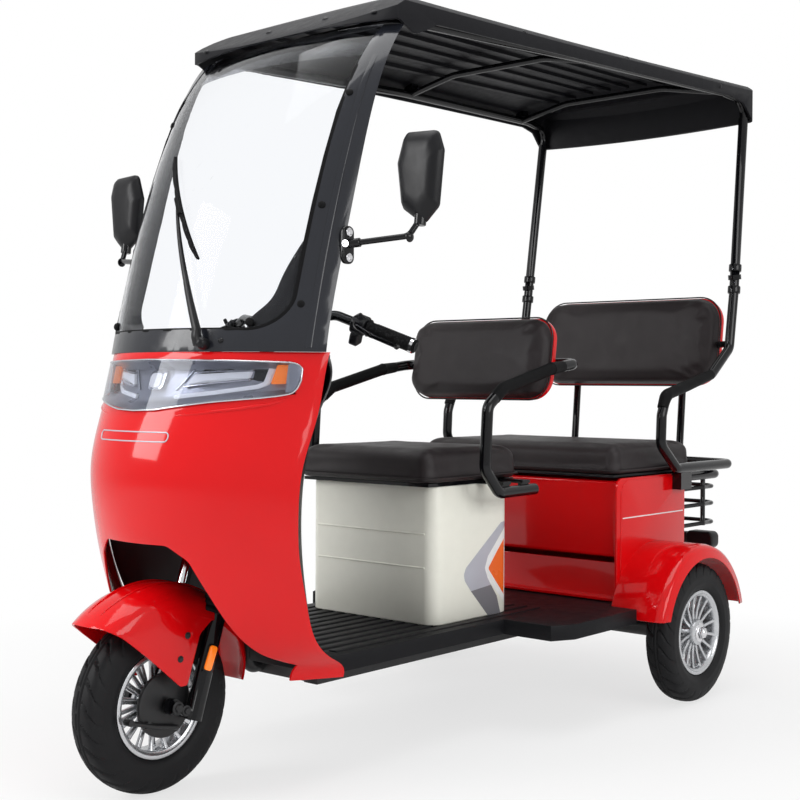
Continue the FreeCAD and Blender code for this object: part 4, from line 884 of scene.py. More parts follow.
@dataclass(frozen=True)
class Wheel:
    """Wheel: grooved tyre, deep rim with flat spokes, hub and cap."""

    place: str
    body: str
    faces: tuple[int, ...] = (-1, 1)
    radius: float = 0.187
    bead: float = 0.1135
    half_width: float = 0.0398
    grooves: int = 26
    groove_depth: float = 0.0042
    groove_width: float = 0.0052
    groove_twist: float = 1.3
    crown: float = 0.13
    line_depth: float = 0.0008
    around: int = 400
    section: tuple[Point, ...] = (
        (-1.0, 0.0, -0.72), (-0.86, 0.1, -0.9), (-0.68, 0.34, -1.0), (-0.5, 0.64, -0.965),
        (-0.33, 0.87, -0.79), (-0.16, 0.975, -0.43))
    spokes: int = 16
    flange: tuple[tuple[float, float], ...] = (
        (0.1128, 0.0305), (0.1095, 0.0318), (0.1055, 0.031), (0.1035, 0.0285),
        (0.0985, 0.0262), (0.0965, 0.0225), (0.0955, 0.008))
    barrel: tuple[tuple[float, float], ...] = (
        (0.1128, -0.024), (0.1085, -0.018), (0.1085, 0.018), (0.1128, 0.024))
    hub: tuple[tuple[float, float], ...] = (
        (0, 0.026), (0.016, 0.026), (0.017, 0.031), (0.027, 0.031), (0.0335, 0.0275),
        (0.036, 0.0215), (0.036, 0.016), (0.031, 0.0135))
    valve: tuple[Point, ...] = ((0.0, 0.0, -0.1), (0.0, 0.014, -0.094), (0.0, 0.03, -0.086))
    cap: tuple[tuple[float, float], ...] = (
        (0.019, -0.001), (0.023, -0.001), (0.023, 0.0005), (0.021, 0.0015), (0.019, 0.0005))
    cap_out: float = 0.0308
    bolts: int = 5
    bolt_circle: float = 0.0225

    def middle(self) -> Array:
        """Centre of the wheel."""
        low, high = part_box(self.place + "_tyre")
        return (np.array(low) + np.array(high)) / 2

    def tyre(self) -> Skin:
        """Tyre with curved grooves that run from its crown to its shoulders.

        The section follows a spline from bead to bead. A point sinks by the groove depth where
        its angle, twisted by the square of its share of the width, comes near a whole pitch.
        """
        half = list(self.section)
        both = np.array(half + [(0.0, 1.0, 0.0)] + [(-p, h, -a) for p, h, a in half[::-1]])
        run = np.linspace(-1, 1, 62)
        height = spline(both[:, 0], both[:, 1], run)
        across = np.clip(spline(both[:, 0], both[:, 2], run), -1, 1)
        side = np.sign(across)
        radius = self.bead + (self.radius - self.bead) * np.clip(height, 0, 1)
        lines = np.exp(-((height - 0.26) / 0.03) ** 2) + np.exp(-((height - 0.5) / 0.02) ** 2)
        place = across * self.half_width - side * self.line_depth * (1 - lines)
        angle = np.linspace(0, 2 * math.pi, self.around, endpoint=False)
        twist = (self.groove_twist * across ** 2 + 0.25) * side
        phase = self.grooves * angle[None] / (2 * math.pi) + twist[:, None]
        pitch = 2 * math.pi * self.radius / self.grooves
        away = np.abs(phase - np.round(phase)) * pitch / self.groove_width
        zone = ((height > 0.6) & (np.abs(across) > 0.2))[:, None]
        sink = self.groove_depth * np.clip(1.3 - 1.3 * away ** 2, 0, 1) * zone
        centre = np.exp(-((np.abs(across) - self.crown) / 0.035) ** 2)[:, None]
        sink = np.maximum(sink, 0.7 * self.groove_depth * centre)
        outer = radius[:, None] - sink
        spin = np.stack([np.cos(angle), np.zeros_like(angle), np.sin(angle)], -1)
        shell = outer[..., None] * spin[None]
        shell[..., 1] += place[:, None]
        inner = np.array([(self.bead - 0.003, 0.6 * self.half_width),
                          (self.bead - 0.003, -0.6 * self.half_width)])
        lining = inner[:, :1, None] * spin[None]
        lining[..., 1] += inner[:, 1:]
        points = np.vstack([shell, lining]) + self.middle()
        return grid(points, wrap_rows=True, wrap_columns=True)

    def rim(self) -> Skin:
        """Barrel with broad polished flanges, carried by dished spokes on the hub."""
        middle = tuple(self.middle())
        flange, hub = ([*half, *((r, -a) for r, a in reversed(half))]
                       for half in (self.flange, self.hub))
        skins = [revolved(flange + list(self.barrel), middle, 96),
                 revolved(hub, middle, 60, False)]
        run = np.linspace(0, 1, 7)
        reach = 0.034 + run * 0.0635
        dish = 0.0125 + 0.0085 * run ** 2
        blade = rounded_outline(0.0085, 0.0095, 0.0022, 3)
        for face in self.faces:
            path = np.stack([reach, dish * face, np.zeros_like(run)], -1)
            spoke = sweep(path, blade, 1.18 - 0.36 * run + 0.3 * run ** 6).moved(middle)
            skins += [spoke.turned((k + 0.5) * 360 / self.spokes, middle)
                      for k in range(self.spokes)]
        skins.append(tube(np.array(self.valve) + np.array(middle), 0.0035, 0.01, 10, 4))
        return joined(skins)

    def caps(self) -> Skin:
        """Chrome cap, nut and bolt circle on each shown face."""
        skins = []
        middle = self.middle()
        for face in self.faces:
            axis = (0, face, 0)
            outer = middle + np.array((0, self.cap_out * face, 0))
            skins.append(revolved(self.cap, tuple(outer), 40, True, axis))
            for k in range(self.bolts):
                turn = math.radians(360 / self.bolts * k + 18)
                place = outer + self.bolt_circle * np.array((math.cos(turn), 0, math.sin(turn)))
                skins.append(bolt(tuple(place), axis, 0.0028, 0.0012))
        return joined(skins)

    def build(self) -> None:
        """Build the tyre, rim and caps."""
        piece(self.place + "_tyre_tread", self.tyre(), TYRE_RUBBER, self.body,
              (self.place + "_tyre",), 30)
        piece(self.place + "_rim_cast", self.rim(), ALLOY, self.body, (self.place + "_rim",), 35)
        piece(self.place + "_hub_bolts", self.caps(), CHROME, self.body)


@dataclass(frozen=True)
class FrontEnd:
    """Trim of the steered front end: boots, reflectors, bolts and fender ridges."""

    axis: Steering = Steering()
    wheel_x: float = 0.898
    wheel_z: float = 0.187
    fender_radius: float = 0.2494
    reflector: tuple[float, float] = (0.815, 0.278)
    boot: Point = (196.0, 68.0, 4.0)
    boot_length: float = 0.05
    ears: tuple[tuple[float, float], ...] = ((0.868, 0.331), (0.887, 0.285))
    stem_screws: tuple[float, ...] = (406.0, 419.0)

    def boots(self) -> Skin:
        """Ribbed rubber collars where the bright tubes leave the legs."""
        run = np.linspace(0, 1, 25)
        wave = 0.0022 * np.abs(np.sin(run * 4 * math.pi))
        profile = np.stack([0.0205 - 0.004 * run + wave, run * self.boot_length], -1)
        profile = np.vstack([[(0.0145, 0.0)], profile, [(0.0145, self.boot_length)]])
        along, out, forward = self.boot
        return joined([revolved(profile, tuple(self.axis.at(along, side * out, forward)), 28,
                                True, self.axis.up) for side in (-1, 1)])

    def oblongs(self, out: float, size: Point, thick: float, rim: float) -> Skin:
        """Oblong plates on the outside of both legs.

        Args:
            out: sideways place of their back.
            size: width, height and corner radius.
            thick: thickness.
            rim: radius of the rims.

        Returns:
            Both plates.
        """
        skins = []
        x, z = self.reflector
        for side in (-1, 1):
            right = tuple(-side * value for value in self.axis.ahead)
            plane = Plane((x, side * out, z), right, self.axis.up)
            skins.append(slab(plane, size, thick, rim))
        return joined(skins)

    def ridges(self) -> Skin:
        """Two raised lines along the crown of the fender."""
        angle = np.radians(np.linspace(54, 128, 40))
        number = np.arange(len(angle))
        size = np.clip(np.minimum(number, number[::-1]) / 6, 0.15, 1)
        wide = 0.021 + 0.004 * np.sin((angle - angle[0]) * 2)
        x = self.wheel_x + self.fender_radius * np.cos(angle)
        z = self.wheel_z + self.fender_radius * np.sin(angle)
        return joined([sweep(np.stack([x, side * wide, z], -1), ring(10, 0.0024), size)
                       for side in (-1, 1)])

    def screws(self) -> Skin:
        """Screws of the fender's ears, of the brake plate and of the axle."""
        skins = []
        for side in (-1, 1):
            out = (0, side, 0)
            for x, z in self.ears:
                skins.append(bolt((x, side * 0.0785, z), out, 0.0048, 0.0028, 20))
            hub = (self.wheel_x, side * 0.0835, self.wheel_z)
            skins.append(bolt(hub, out, 0.0095, 0.008))
            foot = self.axis.at(-10.5, side * 86.0, 4.0)
            skins.append(bolt(tuple(foot), out, 0.0075, 0.006))
        for along in self.stem_screws:
            for side in (-1, 1):
                place = self.axis.at(along, side * 50.0, 22.0)
                skins.append(bolt(tuple(place), self.axis.ahead, 0.005, 0.004))
        return joined(skins)

    def build(self) -> None:
        """Build the trim."""
        trays = self.oblongs(0.084, (0.024, 0.058, 0.007), 0.0035, 0.001)
        lenses = self.oblongs(0.0865, (0.019, 0.052, 0.006), 0.0065, 0.0022)
        pieces("steering",
               ("fork_boots", self.boots(), GRIP_RUBBER),
               ("fork_reflector_trays", trays, DARK_PLASTIC),
               # The reflectors take the amber lens finish, so its emission paints a glow on them:
               # painted light on parts that are no lamp.
               ("fork_reflectors", lenses, AMBER),
               ("fender_ridges", self.ridges(), RED_PAINT),
               ("front_screws", self.screws(), FRAME_PAINT))


@dataclass(frozen=True)
class Lens:
    """Part inside the lamp: blocks with an outline, or bars along a line, on the nose's skin."""

    name: str
    finish: Finish
    low: float
    high: float
    size: float
    shapes: tuple[tuple[tuple[float, float], ...], ...]
    line: bool = False
    bend: float = 0.0
    paired: bool = True

    def skin(self, deep: float) -> Skin:
        """The part over a tray at a depth in millimetres, with its twin where it has one."""
        make = NOSE.strip if self.line else NOSE.relief
        skins = []
        for shape in self.shapes:
            if self.bend:
                corners = np.column_stack([shape, np.zeros(len(shape))])
                shape = rounded_path(corners, self.bend, 6)[:, :2]
            skins.append(make(shape, deep + self.low, deep + self.high, self.size))
        return joined(skins).twinned() if self.paired else joined(skins)


@dataclass(frozen=True)
class Lamps:
    """Wide front lamp: smoked cover over a recessed tray with its lenses."""

    low_edge: tuple[tuple[float, float], ...] = (
        (0, 794), (60, 796), (170, 812), (250, 821), (275, 825), (290, 829), (297, 834),
        (302, 847), (305, 864))
    high_edge: tuple[tuple[float, float], ...] = ((0, 902), (200, 899), (288, 896), (298, 892),
                                                  (305, 882))
    recess: float = 44.0
    wall: float = 1.0
    cover_proud: float = 4.0
    tray_proud: float = 2.8
    rim_inset: float = 1.5
    rim_proud: float = 3.4
    lenses: tuple[Lens, ...] = (
        Lens("dark_field", DARK_PLASTIC, 0, 3, 6,
             (((98, 846), (225, 856), (250, 850), (252, 889), (150, 891), (112, 880)),)),
        Lens("bars", LAMP_WHITE, 0, 9, 2, (((84, 848), (205, 862), (208, 876), (98, 870)),)),
        Lens("bar_rims", CHROME, 0, 11, 2.5,
             (((82, 845), (140, 851.5), (208, 859.5)), ((98, 873.5), (150, 876.5), (209, 879.5))),
             line=True),
        Lens("hooks", LAMP_WHITE, 0, 8, 8.5,
             (((62, 823), (150, 833), (222, 845), (235, 852), (240, 882)),), line=True, bend=9),
        Lens("blades", LAMP_SILVER, 0, 6, 3.5, (((58, 838), (76, 858), (92, 880)),), line=True),
        Lens("ends", LAMP_TRAY, 43, 46.9, 3,
             (((284, 832), (294, 836), (299, 848), (302, 866), (302, 882), (297, 890),
               (284, 893)),)),
        Lens("ambers", AMBER, 16, 34, 3, (((256, 850), (280, 852), (286, 888), (262, 890)),)),
        Lens("projector_ring", LAMP_SILVER, 0, 10, 10,
             (((-24, 838), (24, 838), (26, 878), (-26, 878)),), paired=False),
        Lens("projector", LAMP_WHITE, 8, 14, 9,
             (((-17, 843), (17, 843), (18, 873), (-18, 873)),), paired=False))

    def outline(self, inset: float) -> tuple[Array, Array, Array]:
        """Sideways places with the lower and upper edges of the lamp, set in by an amount."""
        half = self.low_edge[-1][0]
        side = np.linspace(-half + inset, half - inset, 141)
        low, high = (np.interp(np.abs(side), *zip(*edge))
                     for edge in (self.low_edge, self.high_edge))
        return side, low + inset, high - inset

    def pane(self, inset: float, proud: float, sunk: float) -> Skin:
        """Sheet over the lamp's outline that goes from one depth to another at its middle.

        The depth is the proud value less the sunk value times a flat-topped curve of the
        share of the width and height.
        """
        side, low, high = self.outline(inset)
        rise = np.linspace(0, 1, 15)
        height = low[:, None] + (high - low)[:, None] * rise[None]
        flat = np.stack([np.broadcast_to(side[:, None], height.shape), height], -1)
        room = np.clip(6 * (1 - np.abs(side) / np.abs(side).max()), 0, 1)[:, None]
        well = np.clip(5 * np.minimum(rise, 1 - rise), 0, 1)[None] * room
        depth = proud - sunk * np.sqrt(well)
        return sheet(NOSE.points(flat, depth), NOSE.points(flat, depth - self.wall))

    def build(self) -> None:
        """Build the lamp from its cover to its tray."""
        side, low, high = self.outline(self.rim_inset)
        path = np.vstack([np.stack([side, low], -1), np.stack([side, high], -1)[::-1]])
        rim = NOSE.points(path, self.rim_proud)
        pieces("chassis",
               ("lamp_cover", self.pane(0.0, self.cover_proud, 0.0), LAMP_SMOKE, "lamp_unit"),
               ("lamp_tray", self.pane(1.0, self.tray_proud, self.recess + 0.5), LAMP_TRAY),
               ("lamp_rim", sweep(np.vstack([rim, rim[:1]]), ring(8, 0.0017)), LAMP_SILVER),
               *(("lamp_" + lens.name, lens.skin(-self.recess), lens.finish)
                 for lens in self.lenses))


def node_tree(node: str) -> BVHTree:
    """Search tree over the faces of a CAD node, in the world."""
    made = frame["nodes"][node]
    return BVHTree.FromPolygons([made.matrix_world @ vertex.co for vertex in made.data.vertices],
                                [tuple(face.vertices) for face in made.data.polygons])


def seat_on(node: str, place: Point, towards: Point) -> tuple[Array, Array]:
    """Point and outward normal where a line first meets a CAD node."""
    point, normal, _, _ = node_tree(node).ray_cast(Vector(place), Vector(towards))
    if point is None:
        raise ValueError(f"nothing of {node} lies along {towards} from {place}")
    facing = normal if normal.dot(Vector(towards)) < 0 else -normal
    return np.array(point), np.array(facing)


def draped(node: str, flat: Array, proud: float, start: float = 1.3) -> Array:
    """Lay a line of (side, height) on the front of a CAD node.

    Args:
        node: name of the node.
        flat: places in millimetres.
        proud: how far in front of the node the line lies, in millimetres.
        start: forward place from which the node is looked at, in metres.

    Returns:
        The line's points in metres.
    """
    tree = node_tree(node)
    found = [tree.ray_cast(Vector((start, side * MM, height * MM)), Vector((-1, 0, 0)))[0]
             for side, height in flat]
    return np.array([tuple(point) for point in found]) + np.array((proud * MM, 0, 0))


@dataclass(frozen=True)
class NoseTrim:
    """What is set on the red nose: a slim oblong frame and the folds below the lamp."""

    frame_middle: tuple[float, float] = (-2.0, 743.0)
    frame_half: tuple[float, float] = (108.0, 9.5)
    fold: tuple[tuple[float, float], ...] = ((104, 786), (160, 792), (220, 801), (262, 810),
                                             (286, 822))

    def badge(self) -> Skin:
        """Slim raised frame, an oblong with round ends laid on the nose."""
        outline = rounded_outline(2 * self.frame_half[0], 2 * self.frame_half[1], 8, 8)
        closed = np.vstack([outline, outline[:1]])
        path = followed(closed, np.linspace(0, len(outline), 160)) + np.array(self.frame_middle)
        return sweep(draped("front_fairing", path, 0.5), ring(8, 0.0014))

    def folds(self) -> Skin:
        """Soft raised fold under each end of the lamp."""
        run = np.linspace(0, 1, 30)
        line = followed(self.fold, run, np.linspace(0, 1, len(self.fold)))
        size = 0.35 + 0.65 * np.sin(math.pi * run) ** 0.5
        return sweep(draped("front_fairing", line, -1.4), ring(12, 0.0036), size).twinned()

    def build(self) -> None:
        """Build the trim."""
        pieces("chassis",
               ("nose_name_frame", self.badge(), SILVER_FILM),
               ("nose_folds", self.folds(), RED_PAINT))


@dataclass(frozen=True)
class Screen:
    """Windscreen: edge seal, pillar folds, buttons, corner trims, tinted head and wiper."""

    buttons: tuple[tuple[float, ...], ...] = (
        (287, 1465, 0.0, 0.008, 0.0036), (292, 1219, 0.0, 0.008, 0.0036),
        (291, 1013, 0.0, 0.008, 0.0036), (214, 976, -1.0, 0.0095, 0.009))
    foot: tuple[Point, ...] = ((278, 1620, 0), (281, 962, 0), (-281, 962, 0), (-278, 1620, 0))
    arm: tuple[tuple[float, float], ...] = ((134, 930), (128, 960), (74, 1072), (-2, 1222))
    jet: tuple[float, float] = (166, 938)
    trim_inner: tuple[tuple[float, float], ...] = ((958, 203), (985, 207), (1010, 228),
                                                   (1060, 246), (1120, 262), (1178, 281))
    trim_outer: float = 284.0
    tint: tuple[tuple[float, float], tuple[float, float]] = ((-272, 272), (1556, 1634))
    blade: tuple[tuple[float, float], ...] = ((86, 1108), (-94, 1349))
    saddle: tuple[tuple[float, float], ...] = ((12, 1207), (-16, 1245))

    def normal(self, side: float, height: float) -> Point:
        """Forward normal of the screen's skin, from its slopes across and up."""
        step = 0.002
        left, right, low, high = SCREEN.front(side * MM + step * np.array((-1, 1, 0, 0)),
                                              height * MM + step * np.array((0, 0, -1, 1)))
        return tuple(unit(np.array((2 * step, left - right, low - high))))

    def on_skin(self, side: float, height: float, proud: float) -> Point:
        """Point on or over the screen's skin."""
        return tuple(SCREEN.points(np.array((side, height), float), proud))

    def edge_seal(self) -> Skin:
        """Rubber line round the glass: up both sides and across the foot."""
        foot = rounded_path(self.foot, 70, 12)[:, :2]
        return SCREEN.strip(followed(foot, np.linspace(0, len(foot) - 1, 150)), -3.0, 1.2, 6.0)

    def pillar_folds(self) -> Skin:
        """Raised line down the middle of each pillar."""
        height = np.linspace(925, 1628, 60)
        path = np.stack([np.interp(height, (925, 1640), (312, 304)), height], -1)
        return SCREEN.strip(path, -2.0, 1.8, 9.0).twinned()

    def studs(self) -> Skin:
        """Round buttons over the screws of the pillars."""
        return joined([dome(self.on_skin(side * y, z, proud), self.normal(side * y, z), radius,
                            height)
                       for side in (-1, 1) for y, z, proud, radius, height in self.buttons])

    def corner_trims(self) -> Skin:
        """Curved inner panels that fill the lower corners behind the glass."""
        table = np.array(self.trim_inner, float)
        height = np.linspace(table[0, 0], table[-1, 0], 28)
        outer = np.full_like(height, self.trim_outer)
        inner = spline(table[:, 0], table[:, 1], height)
        share = np.linspace(0, 1, 9)
        side = outer[:, None] + (inner - outer)[:, None] * share[None]
        flat = np.stack([side, np.broadcast_to(height[:, None], side.shape)], -1)
        bulge = 5.0 * np.sin(math.pi * share)[None]
        return sheet(SCREEN.points(flat, bulge - 13.0),
                     SCREEN.points(flat, bulge - 17.0)).twinned()

    def head_tint(self) -> Skin:
        """Tinted band behind the top of the glass."""
        side, height = np.linspace(*self.tint[0], 60), np.linspace(*self.tint[1], 8)
        flat = np.stack(np.meshgrid(side, height, indexing="ij"), -1)
        return sheet(SCREEN.points(flat, -9.0), SCREEN.points(flat, -10.0))

    def wiper_arm(self) -> Skin:
        """Pivot cap, tapered arm and the slim link that holds the blade."""
        run = np.linspace(0, 3, 28)
        lift = np.interp(run, (0, 0.6, 3), (16, 22, 14))
        size = np.interp(run, (0, 0.5, 2, 3), (2.3, 2.2, 1.25, 0.7))
        arm = sweep(SCREEN.points(followed(self.arm, run), lift),
                    rounded_outline(0.0085, 0.0075, 0.002, 3), size)
        pivot = self.arm[0]
        cap = revolved([(0, 0), (0.012, 0), (0.0125, 0.012), (0.0105, 0.024), (0.006, 0.028),
                        (0, 0.0285)], self.on_skin(*pivot, -2.0), 28, False, self.normal(*pivot))
        jet = dome(self.on_skin(*self.jet, -1.0), self.normal(*self.jet), 0.006, 0.006)
        return joined([arm, cap, jet])

    def wiper_blade(self) -> Skin:
        """Blade: a spine with raised bridges over a thin rubber lip on the glass."""
        run = np.linspace(0, 1, 90)
        path = followed(self.blade, run)
        bridges = 2.2 * np.abs(np.sin(run * 6 * math.pi)) ** 0.6
        spine = sweep(SCREEN.points(path, 9.0 + bridges), rounded_outline(0.008, 0.005, 0.0015, 2),
                      np.clip(np.minimum(run, 1 - run) * 9, 0.35, 1))
        holder = sweep(SCREEN.points(path, 6.2), rounded_outline(0.0075, 0.003, 0.001, 2))
        lip = sweep(SCREEN.points(path, 3.2), rounded_outline(0.0022, 0.0052, 0.0008, 2))
        saddle = SCREEN.points(np.array(self.saddle, float), 13.0)
        return joined([spine, holder, lip, tube(saddle, 0.006, 0.01, 12)])

    def build(self) -> None:
        """Build the screen's trim and its wiper."""
        pieces("chassis",
               ("screen_seal", self.edge_seal(), GRIP_RUBBER),
               ("pillar_folds", self.pillar_folds(), SHELL_PLASTIC),
               ("screen_studs", self.studs(), GRIP_RUBBER),
               ("screen_corner_trims", self.corner_trims(), DARK_PLASTIC),
               ("screen_head_tint", self.head_tint(), HEAD_TINT),
               ("wiper_arm", self.wiper_arm(), DARK_PLASTIC, "wiper"),
               ("wiper_blade", self.wiper_blade(), GRIP_RUBBER))


@dataclass(frozen=True)
class Mirrors:
    """Side mirrors: faceted heads, glasses, ball joints and feet with bright screws."""

    middle: Point = (0.592, 0.472, 1.270)
    face: tuple[tuple[float, float], ...] = ((-38, 94), (44, 90), (58, 50), (46, -62),
                                             (8, -96), (-46, -60), (-58, 34))
    foot: Point = (0.668, 0.336, 1.138)
    elbow: Point = (0.622, 0.462, 1.150)
    top: Point = (0.602, 0.474, 1.184)
    plate: Point = (0.668, 0.331, 1.136)
    plate_size: Point = (0.034, 0.078, 0.014)

    def layers(self, *rows: Point) -> Skin:
        """Close a shape through copies of the face's outline.

        Args:
            rows: forward place, size and upward shift of each copy.

        Returns:
            The closed skin.
        """
        found = []
        for forward, size, shift in rows:
            flat = np.array([(y, z, 0.0) for y, z in self.face]) * MM * size
            edge = rounded_path(flat, 0.014, 5, closed=True)[:, :2] + np.array((0.0, shift))
            found.append(np.column_stack([np.full(len(edge), forward), edge]))
        return lofted(np.array(found) + np.array(self.middle))

    def head(self) -> Skin:
        """Housing: the face outline, carried forward and narrowed to a blunt ridge."""
        return self.layers((0.001, 0.93, 0), (-0.001, 0.985, 0), (0.0005, 1.0, 0),
                           (0.007, 1.0, 0), (0.017, 0.9, 0.001), (0.024, 0.72, 0.002),
                           (0.0262, 0.5, 0.003))

    def glass(self) -> Skin:
        """Mirror glass, sunk into the housing's rear side."""
        return self.layers((0.0005, 0.9, 0), (-0.0012, 0.9, 0), (-0.0016, 0.885, 0))

    def arm(self) -> Skin:
        """Bent arm with its sleeve, elbow nut and foot plate."""
        low, elbow, top = (np.array(place) for place in (self.foot, self.elbow, self.top))
        skins = [tube([low, elbow, top], 0.0062, 0.018, 16),
                 tube([top - (0, 0, 0.012), top + (-0.003, 0, 0.012)], 0.0125, 0.01, 20),
                 dome(tuple(elbow + (0, 0.002, -0.002)), (0, 1, 0), 0.011, 0.007),
                 tube([low, low + 0.22 * (elbow - low)], 0.0095, 0.01, 16)]
        plate = Plane(self.plate, (-1, 0, 0), (0, 0, 1))
        return joined(skins + [slab(plate, self.plate_size, 0.01, 0.003)])

    def screws(self) -> Skin:
        """Bright screws of the foot."""
        x, _, z = self.plate
        return joined([bolt((x, 0.342, z + lift), (0, 1, 0), 0.006, 0.005)
                       for lift in (-0.026, 0.026)]
                      + [bolt((0.680, 0.341, 1.138), (0.5, 0.85, 0), 0.005, 0.006)])

    def build(self) -> None:
        """Build both mirrors."""
        for name, left in (("left", True), ("right", False)):
            parts = [("housing", self.head(), DARK_PLASTIC), ("glass", self.glass(), MIRROR_GLASS),
                     ("arm", self.arm(), TUBE_PAINT), ("screws", self.screws(), CHROME)]
            for label, skin, finish in parts:
                node = ("mirror_" + name,) if label == "housing" else ()
                piece(f"mirror_{name}_{label}", skin if left else skin.mirrored(), finish,
                      "chassis", node, 30)


@dataclass(frozen=True)
class RoofTrim:
    """Screws along the roof's front lip and sides."""

    front: tuple[tuple[float, float], ...] = ((-0.271, 1.655), (-0.092, 1.679), (0.092, 1.679),
                                              (0.271, 1.655))
    sides: tuple[tuple[float, float], ...] = ((-0.88, 1.722), (-0.42, 1.722), (0.04, 1.70))

    def screws(self) -> Skin:
        """Screw heads set on the roof's skin."""
        spots = [((0.9, y, z), (-1, 0, 0), 0.008, 0.0035) for y, z in self.front]
        spots += [((x, side * 0.6, z), (0, -side, 0), 0.007, 0.003)
                  for x, z in self.sides for side in (-1, 1)]
        skins = []
        for start, towards, radius, height in spots:
            point, normal = seat_on("roof_panel", start, towards)
            skins.append(dome(tuple(point), tuple(normal), radius, height))
        return joined(skins)

    def build(self) -> None:
        """Build the screws."""
        piece("roof_screws", self.screws(), DARK_PLASTIC, "chassis")


@dataclass(frozen=True)
class Controls:
    """Grips, switch housings, levers and the clamp of the handlebar."""

    turn_in: Point = (0.5028, 0.150, 1.0052)
    tip: Point = (0.4398, 0.330, 0.9332)
    clamp: Point = (0.5548, 0.0, 0.9672)
    grip_length: float = 0.118

    def along(self, distance: float) -> Array:
        """Point on the left outer run of the bar, at a distance from its tip in metres."""
        tip, inner = np.array(self.tip), np.array(self.turn_in)
        return tip + unit(inner - tip) * distance

    def inward(self) -> Array:
        """Direction of the outer run, from its tip."""
        return unit(self.along(0.1) - self.along(0.0))

    def grip(self) -> Skin:
        """Rubber grip: a flange, fine rings and a rounded end."""
        run = np.linspace(0, 1, 90)
        rings = 0.0009 * (np.sin(run * 44 * math.pi) > 0) * ((run > 0.1) & (run < 0.86))
        radius = 0.0155 + rings + 0.0045 * np.exp(-((run - 0.985) / 0.02) ** 2)
        profile = np.stack([radius, run * self.grip_length], -1)
        profile = np.vstack([[(0, 0), (0.012, 0)], profile, [(0, self.grip_length)]])
        return revolved(profile, tuple(self.along(0.002)), 32, False, tuple(self.inward()))

    def end_ring(self) -> Skin:
        """Bright collar at the tip of the grip."""
        return revolved([(0.0135, 0.0), (0.0172, 0.001), (0.0172, 0.008), (0.0135, 0.009)],
                        tuple(self.along(0.004)), 32, True, tuple(self.inward()))

    def housing(self) -> Skin:
        """Switch housing round the bar with its mounting lug, buttons and a round knob."""
        inward = self.inward()
        up = unit(np.array((0.25, 0.3, 0.9)))
        up = unit(up - inward * (up @ inward))
        ahead = np.cross(inward, up)
        ahead = ahead if ahead[0] > 0 else -ahead
        skins = []
        for start, size, thick, rim in (
                (self.along(0.124), (0.044, 0.04, 0.013), 0.034, 0.005),
                (self.along(0.134) - 0.032 * up + 0.004 * ahead, (0.03, 0.03, 0.006), 0.02,
                 0.003)):
            plane = Plane(tuple(start), tuple(ahead), tuple(np.cross(inward, ahead)))
            skins.append(slab(plane, size, thick, rim))
        for shift, radius in ((0.131, 0.0055), (0.145, 0.0045)):
            skins.append(dome(tuple(self.along(shift) + 0.019 * up), tuple(up), radius, 0.005))
        knob = self.along(0.140) + 0.018 * up + 0.012 * ahead
        skins.append(tube([knob, knob + 0.014 * up], 0.0045, 0.01, 14))
        return joined(skins)

    def lever(self) -> Skin:
        """Brake lever: pivot, curved blade and ball end in front of the grip."""
        root = self.along(0.152)
        ahead = np.array((1.0, 0.25, -0.15))
        line = [root, root + 0.03 * ahead + (0, 0.012, 0),
                self.along(0.085) + 0.05 * unit(ahead), self.along(0.02) + 0.056 * unit(ahead)]
        path = rounded_path(np.array(line), 0.03, 8)
        size = np.linspace(1.25, 0.72, len(path))
        blade = sweep(path, rounded_outline(0.013, 0.0068, 0.003, 3), size)
        ball = revolved([(0, -0.0065), (0.0046, -0.0046), (0.0065, 0), (0.0046, 0.0046),
                         (0, 0.0065)], tuple(path[-1]), 16, False)
        return joined([blade, ball])

    def clamp_block(self) -> Skin:
        """Split clamp on the stem with four screws."""
        low = np.array(self.clamp)
        skins = [between(low + (-0.021, -0.034, -0.018), low + (0.021, 0.034, 0.016), 0.008,
                         0.004)]
        for x in (-0.013, 0.013):
            for y in (-0.024, 0.024):
                skins.append(bolt(tuple(low + (x, y, 0.016)), (0, 0, 1), 0.0042, 0.004))
        return joined(skins)

    def build(self) -> None:
        """Build the controls of both hands."""
        for label, make, finish in (("grips", self.grip, GRIP_RUBBER),
                                    ("end_rings", self.end_ring, CHROME),
                                    ("housings", self.housing, DARK_PLASTIC),
                                    ("levers", self.lever, TUBE_PAINT)):
            node = ("handlebar_controls",) if label == "housings" else ()
            piece("handlebar_" + label, make().twinned(), finish, "steering", node, 35)
        piece("handlebar_clamp", self.clamp_block(), DARK_PLASTIC, "steering")


